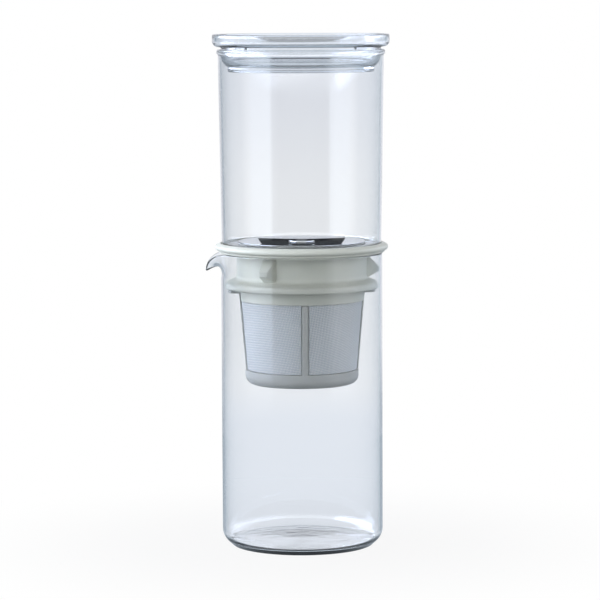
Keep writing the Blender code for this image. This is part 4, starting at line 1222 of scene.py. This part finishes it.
def studio_floor(tree, studio):
    """Pale matt floor that lights the object from below. Rays that no matt face has spread see it shine
    instead: white straight from the camera, like the backdrop's foot through glass, and as FLOOR_MIRRORED in
    a mirror. Near the object, from 24 cm inwards to 5 cm, a share of the matt floor comes through as a soft
    contact shadow."""
    place = node(tree, "ShaderNodeTexCoord").outputs["Object"]
    distance = node(tree, "ShaderNodeVectorMath", {0: place}, operation="LENGTH")
    shine = node(
        tree,
        "ShaderNodeMapRange",
        {"Value": distance, "From Min": 0.05, "From Max": 0.24, "To Min": 0.92, "To Max": 1.0},
        interpolation_type="SMOOTHSTEP",
    )
    path = node(tree, "ShaderNodeLightPath")
    unspread = {0: path.outputs["Diffuse Depth"], 1: 0.5}
    seen = node(tree, "ShaderNodeMath", unspread, operation="LESS_THAN")
    amount = node(tree, "ShaderNodeMath", {0: seen, 1: shine}, operation="MULTIPLY")
    look = {"Base Color": rgba(studio.floor), "Roughness": 0.6, "Specular IOR Level": 0.2}
    matt = node(tree, "ShaderNodeBsdfPrincipled", look)
    glass = seen_through_glass(tree)
    tone = node(tree, "ShaderNodeMix", {0: glass, 6: FLOOR_MIRRORED, 7: BACKDROP_FOOT}, **COLOUR_MIX)
    straight = path.outputs["Is Camera Ray"]
    tone = node(tree, "ShaderNodeMix", {0: straight, 6: tone, 7: WHITE}, **COLOUR_MIX)
    light = node(tree, "ShaderNodeEmission", {"Color": tone, "Strength": 1.0})
    return node(tree, "ShaderNodeMixShader", {0: amount, 1: matt, 2: light})


def black_card(tree):
    """Black card that only mirrored rays see, so that it darkens the polished plate and nothing else."""
    amount = rays_that(tree, ("Glossy Depth", "GREATER_THAN", 0.5), ("Diffuse Depth", "LESS_THAN", 0.5))
    clear = node(tree, "ShaderNodeBsdfTransparent", {"Color": WHITE})
    black = node(tree, "ShaderNodeEmission", {"Color": CARD_BLACK, "Strength": 1.0})
    return node(tree, "ShaderNodeMixShader", {0: amount, 1: clear, 2: black})


def soft_box_world(studio):
    """Studio surroundings that the camera itself never sees: it sees plain white. Rays that have only been
    bent by glass see a pale backdrop with flats. All others see a band of soft boxes and dark gaps round the
    object, so that glass and steel get their edges. Deep inside the glass, rays that have been mirrored
    twice see them dimmed, and matt faces outside the glass get a share of them."""
    world = bpy.data.worlds.new("studio")
    world.use_nodes = True
    tree = world.node_tree
    tree.nodes.clear()
    sight = node(tree, "ShaderNodeTexCoord").outputs["Generated"]
    split = node(tree, "ShaderNodeSeparateXYZ", {"Vector": sight})
    front = node(tree, "ShaderNodeMath", {0: split.outputs["Y"], 1: -1.0}, operation="MULTIPLY")
    bearing = node(tree, "ShaderNodeMath", {0: split.outputs["X"], 1: front}, operation="ARCTAN2")
    whole_turn = {"From Min": -math.pi, "From Max": math.pi}
    round_share = node(tree, "ShaderNodeMapRange", {"Value": bearing, **whole_turn})
    height = node(tree, "ShaderNodeMath", {0: split.outputs["Z"]}, operation="ARCSINE")

    def above(under, over, heights):
        """Changes from the colour under two heights in degrees to the one over them."""
        start, end = (math.radians(degrees) for degrees in heights)
        limits = {"Value": height, "From Min": start, "From Max": end}
        amount = node(tree, "ShaderNodeMapRange", limits, interpolation_type="SMOOTHSTEP")
        return node(tree, "ShaderNodeMix", {0: amount, 6: under, 7: over}, **COLOUR_MIX)

    lights = []
    for entries in (LOW_BOXES, HIGH_BOXES, FLAG, FLATS, TWICE_MIRRORED):
        made = node(tree, "ShaderNodeValToRGB", {"Fac": round_share})
        stops = made.color_ramp.elements
        for degrees, code, level in entries[1:-1]:
            stops.new((degrees + 180) / 360)
        for stop, (degrees, code, level) in zip(stops, entries):
            stop.color = tuple(level * part for part in linear(code)[:3]) + (1.0,)
        lights.append(made)
    low, high, flag, flats, twice = lights
    light = above(low, high, HORIZON)
    shaded = node(tree, "ShaderNodeMix", {0: 1.0, 6: light, 7: flag}, **COLOUR_PRODUCT)
    flagged = above(light, shaded, FLAG_START)
    light = above(flagged, above(light, CEILING, CEILING_START), FLAG_END)
    mirrored_twice = ("Glossy Depth", "GREATER_THAN", 1.5)
    through_four_faces = ("Transmission Depth", "GREATER_THAN", 3.5)
    deep = rays_that(tree, mirrored_twice, through_four_faces)
    dimmed = node(tree, "ShaderNodeMix", {0: 1.0, 6: light, 7: twice}, **COLOUR_PRODUCT)
    dimmed = above(dimmed, light, TWICE_MIRRORED_END)
    light = node(tree, "ShaderNodeMix", {0: deep, 6: light, 7: dimmed}, **COLOUR_MIX)
    light = above(BELOW, light, BELOW_END)
    spread = ("Diffuse Depth", "GREATER_THAN", 0.5)
    through_no_glass = ("Transmission Depth", "LESS_THAN", 0.5)
    free = rays_that(tree, spread, through_no_glass)
    lessened = node(tree, "ShaderNodeMix", {0: 1.0, 6: light, 7: OUTSIDE}, **COLOUR_PRODUCT)
    light = node(tree, "ShaderNodeMix", {0: free, 6: light, 7: lessened}, **COLOUR_MIX)
    backdrop = above(BACKDROP_MIDDLE, BACKDROP_TOP, BACKDROP_TOP_START)
    backdrop = above(BACKDROP_FOOT, backdrop, BACKDROP_FOOT_END)
    flats = above(WHITE, flats, FLATS_START)
    backdrop = node(tree, "ShaderNodeMix", {0: 1.0, 6: backdrop, 7: flats}, **COLOUR_PRODUCT)
    glass = seen_through_glass(tree)
    seen = node(tree, "ShaderNodeMix", {0: glass, 6: light, 7: backdrop}, **COLOUR_MIX)
    lit = node(tree, "ShaderNodeBackground", {"Color": seen, "Strength": studio.light})
    plain = node(tree, "ShaderNodeBackground", {"Color": WHITE, "Strength": 1.0})
    straight = node(tree, "ShaderNodeLightPath").outputs["Is Camera Ray"]
    mixed = node(tree, "ShaderNodeMixShader", {0: straight, 1: lit, 2: plain})
    node(tree, "ShaderNodeOutputWorld", {"Surface": mixed})
    return world


class BREWER_OT_studio(bpy.types.Operator):
    """Sets up the floor, the black card, the surroundings and the camera"""

    bl_idname = "brewer.studio"
    bl_label = "Studio"
    bl_options = {"REGISTER", "UNDO"}

    def execute(self, context):
        scene = context.scene
        studio = scene.brewer_studio
        top = -0.15 * MM
        low = top - 2 * MM
        reach = 0.45
        rows = np.array([(0, low), (reach, low), (reach, top), (0, top)])
        floor = turned_piece("floor", rows, DISC_ROUND, along=False)
        floor.data.materials.append(finished("studio_floor_pale", studio_floor, studio))
        half, low, high, far = CARD
        corners = np.array([[(-half, far, low), (half, far, low)], [(-half, far, high), (half, far, high)]])
        card = build("black_card", shell(corners, around=False, along=False))
        card.data.materials.append(finished("studio_card_black", black_card))
        scene.world = soft_box_world(studio)
        scene.view_settings.view_transform = "Standard"
        camera = bpy.data.objects.new("camera", bpy.data.cameras.new("camera"))
        camera.data.sensor_width = 36
        camera.data.lens = studio.lens
        camera.data.clip_start = 0.1
        turn = Matrix.Rotation(studio.heading, 4, "Z") @ Matrix.Rotation(math.pi / 2 - studio.pitch, 4, "X")
        turn = turn @ Matrix.Rotation(-studio.roll, 4, "Z")
        camera.matrix_world = Matrix.Translation((0, -studio.distance, studio.height)) @ turn
        scene.collection.objects.link(camera)
        scene.camera = camera
        return {"FINISHED"}


OPERATORS = (
    BREWER_OT_jug,
    BREWER_OT_collar,
    BREWER_OT_strainer,
    BREWER_OT_water_glass,
    BREWER_OT_drip,
    BREWER_OT_lid,
    BREWER_OT_studio,
)


class BREWER_PT_panel(bpy.types.Panel):
    """Lists the pieces of the coffee maker"""

    bl_idname = "BREWER_PT_panel"
    bl_label = "Cold brew coffee maker"
    bl_space_type = "VIEW_3D"
    bl_region_type = "UI"
    bl_category = "Brewer"

    def draw(self, context):
        for operator in OPERATORS:
            self.layout.operator(operator.bl_idname)


CLASSES = (*GROUPS.values(), *OPERATORS, BREWER_PT_panel)


def register():
    """Adds the classes and the sizes to Blender."""
    for item in CLASSES:
        bpy.utils.register_class(item)
    for name, group in GROUPS.items():
        setattr(bpy.types.Scene, name, bpy.props.PointerProperty(type=group))


def unregister():
    """Takes the sizes and the classes out again."""
    for name in GROUPS:
        delattr(bpy.types.Scene, name)
    for item in reversed(CLASSES):
        bpy.utils.unregister_class(item)


def main():
    """Makes every piece and the studio."""
    register()
    bpy.ops.brewer.jug()
    bpy.ops.brewer.collar()
    bpy.ops.brewer.strainer()
    bpy.ops.brewer.water_glass()
    bpy.ops.brewer.drip()
    bpy.ops.brewer.lid()
    bpy.ops.brewer.studio()
    bpy.context.view_layer.update()


if __name__ == "__main__":
    main()
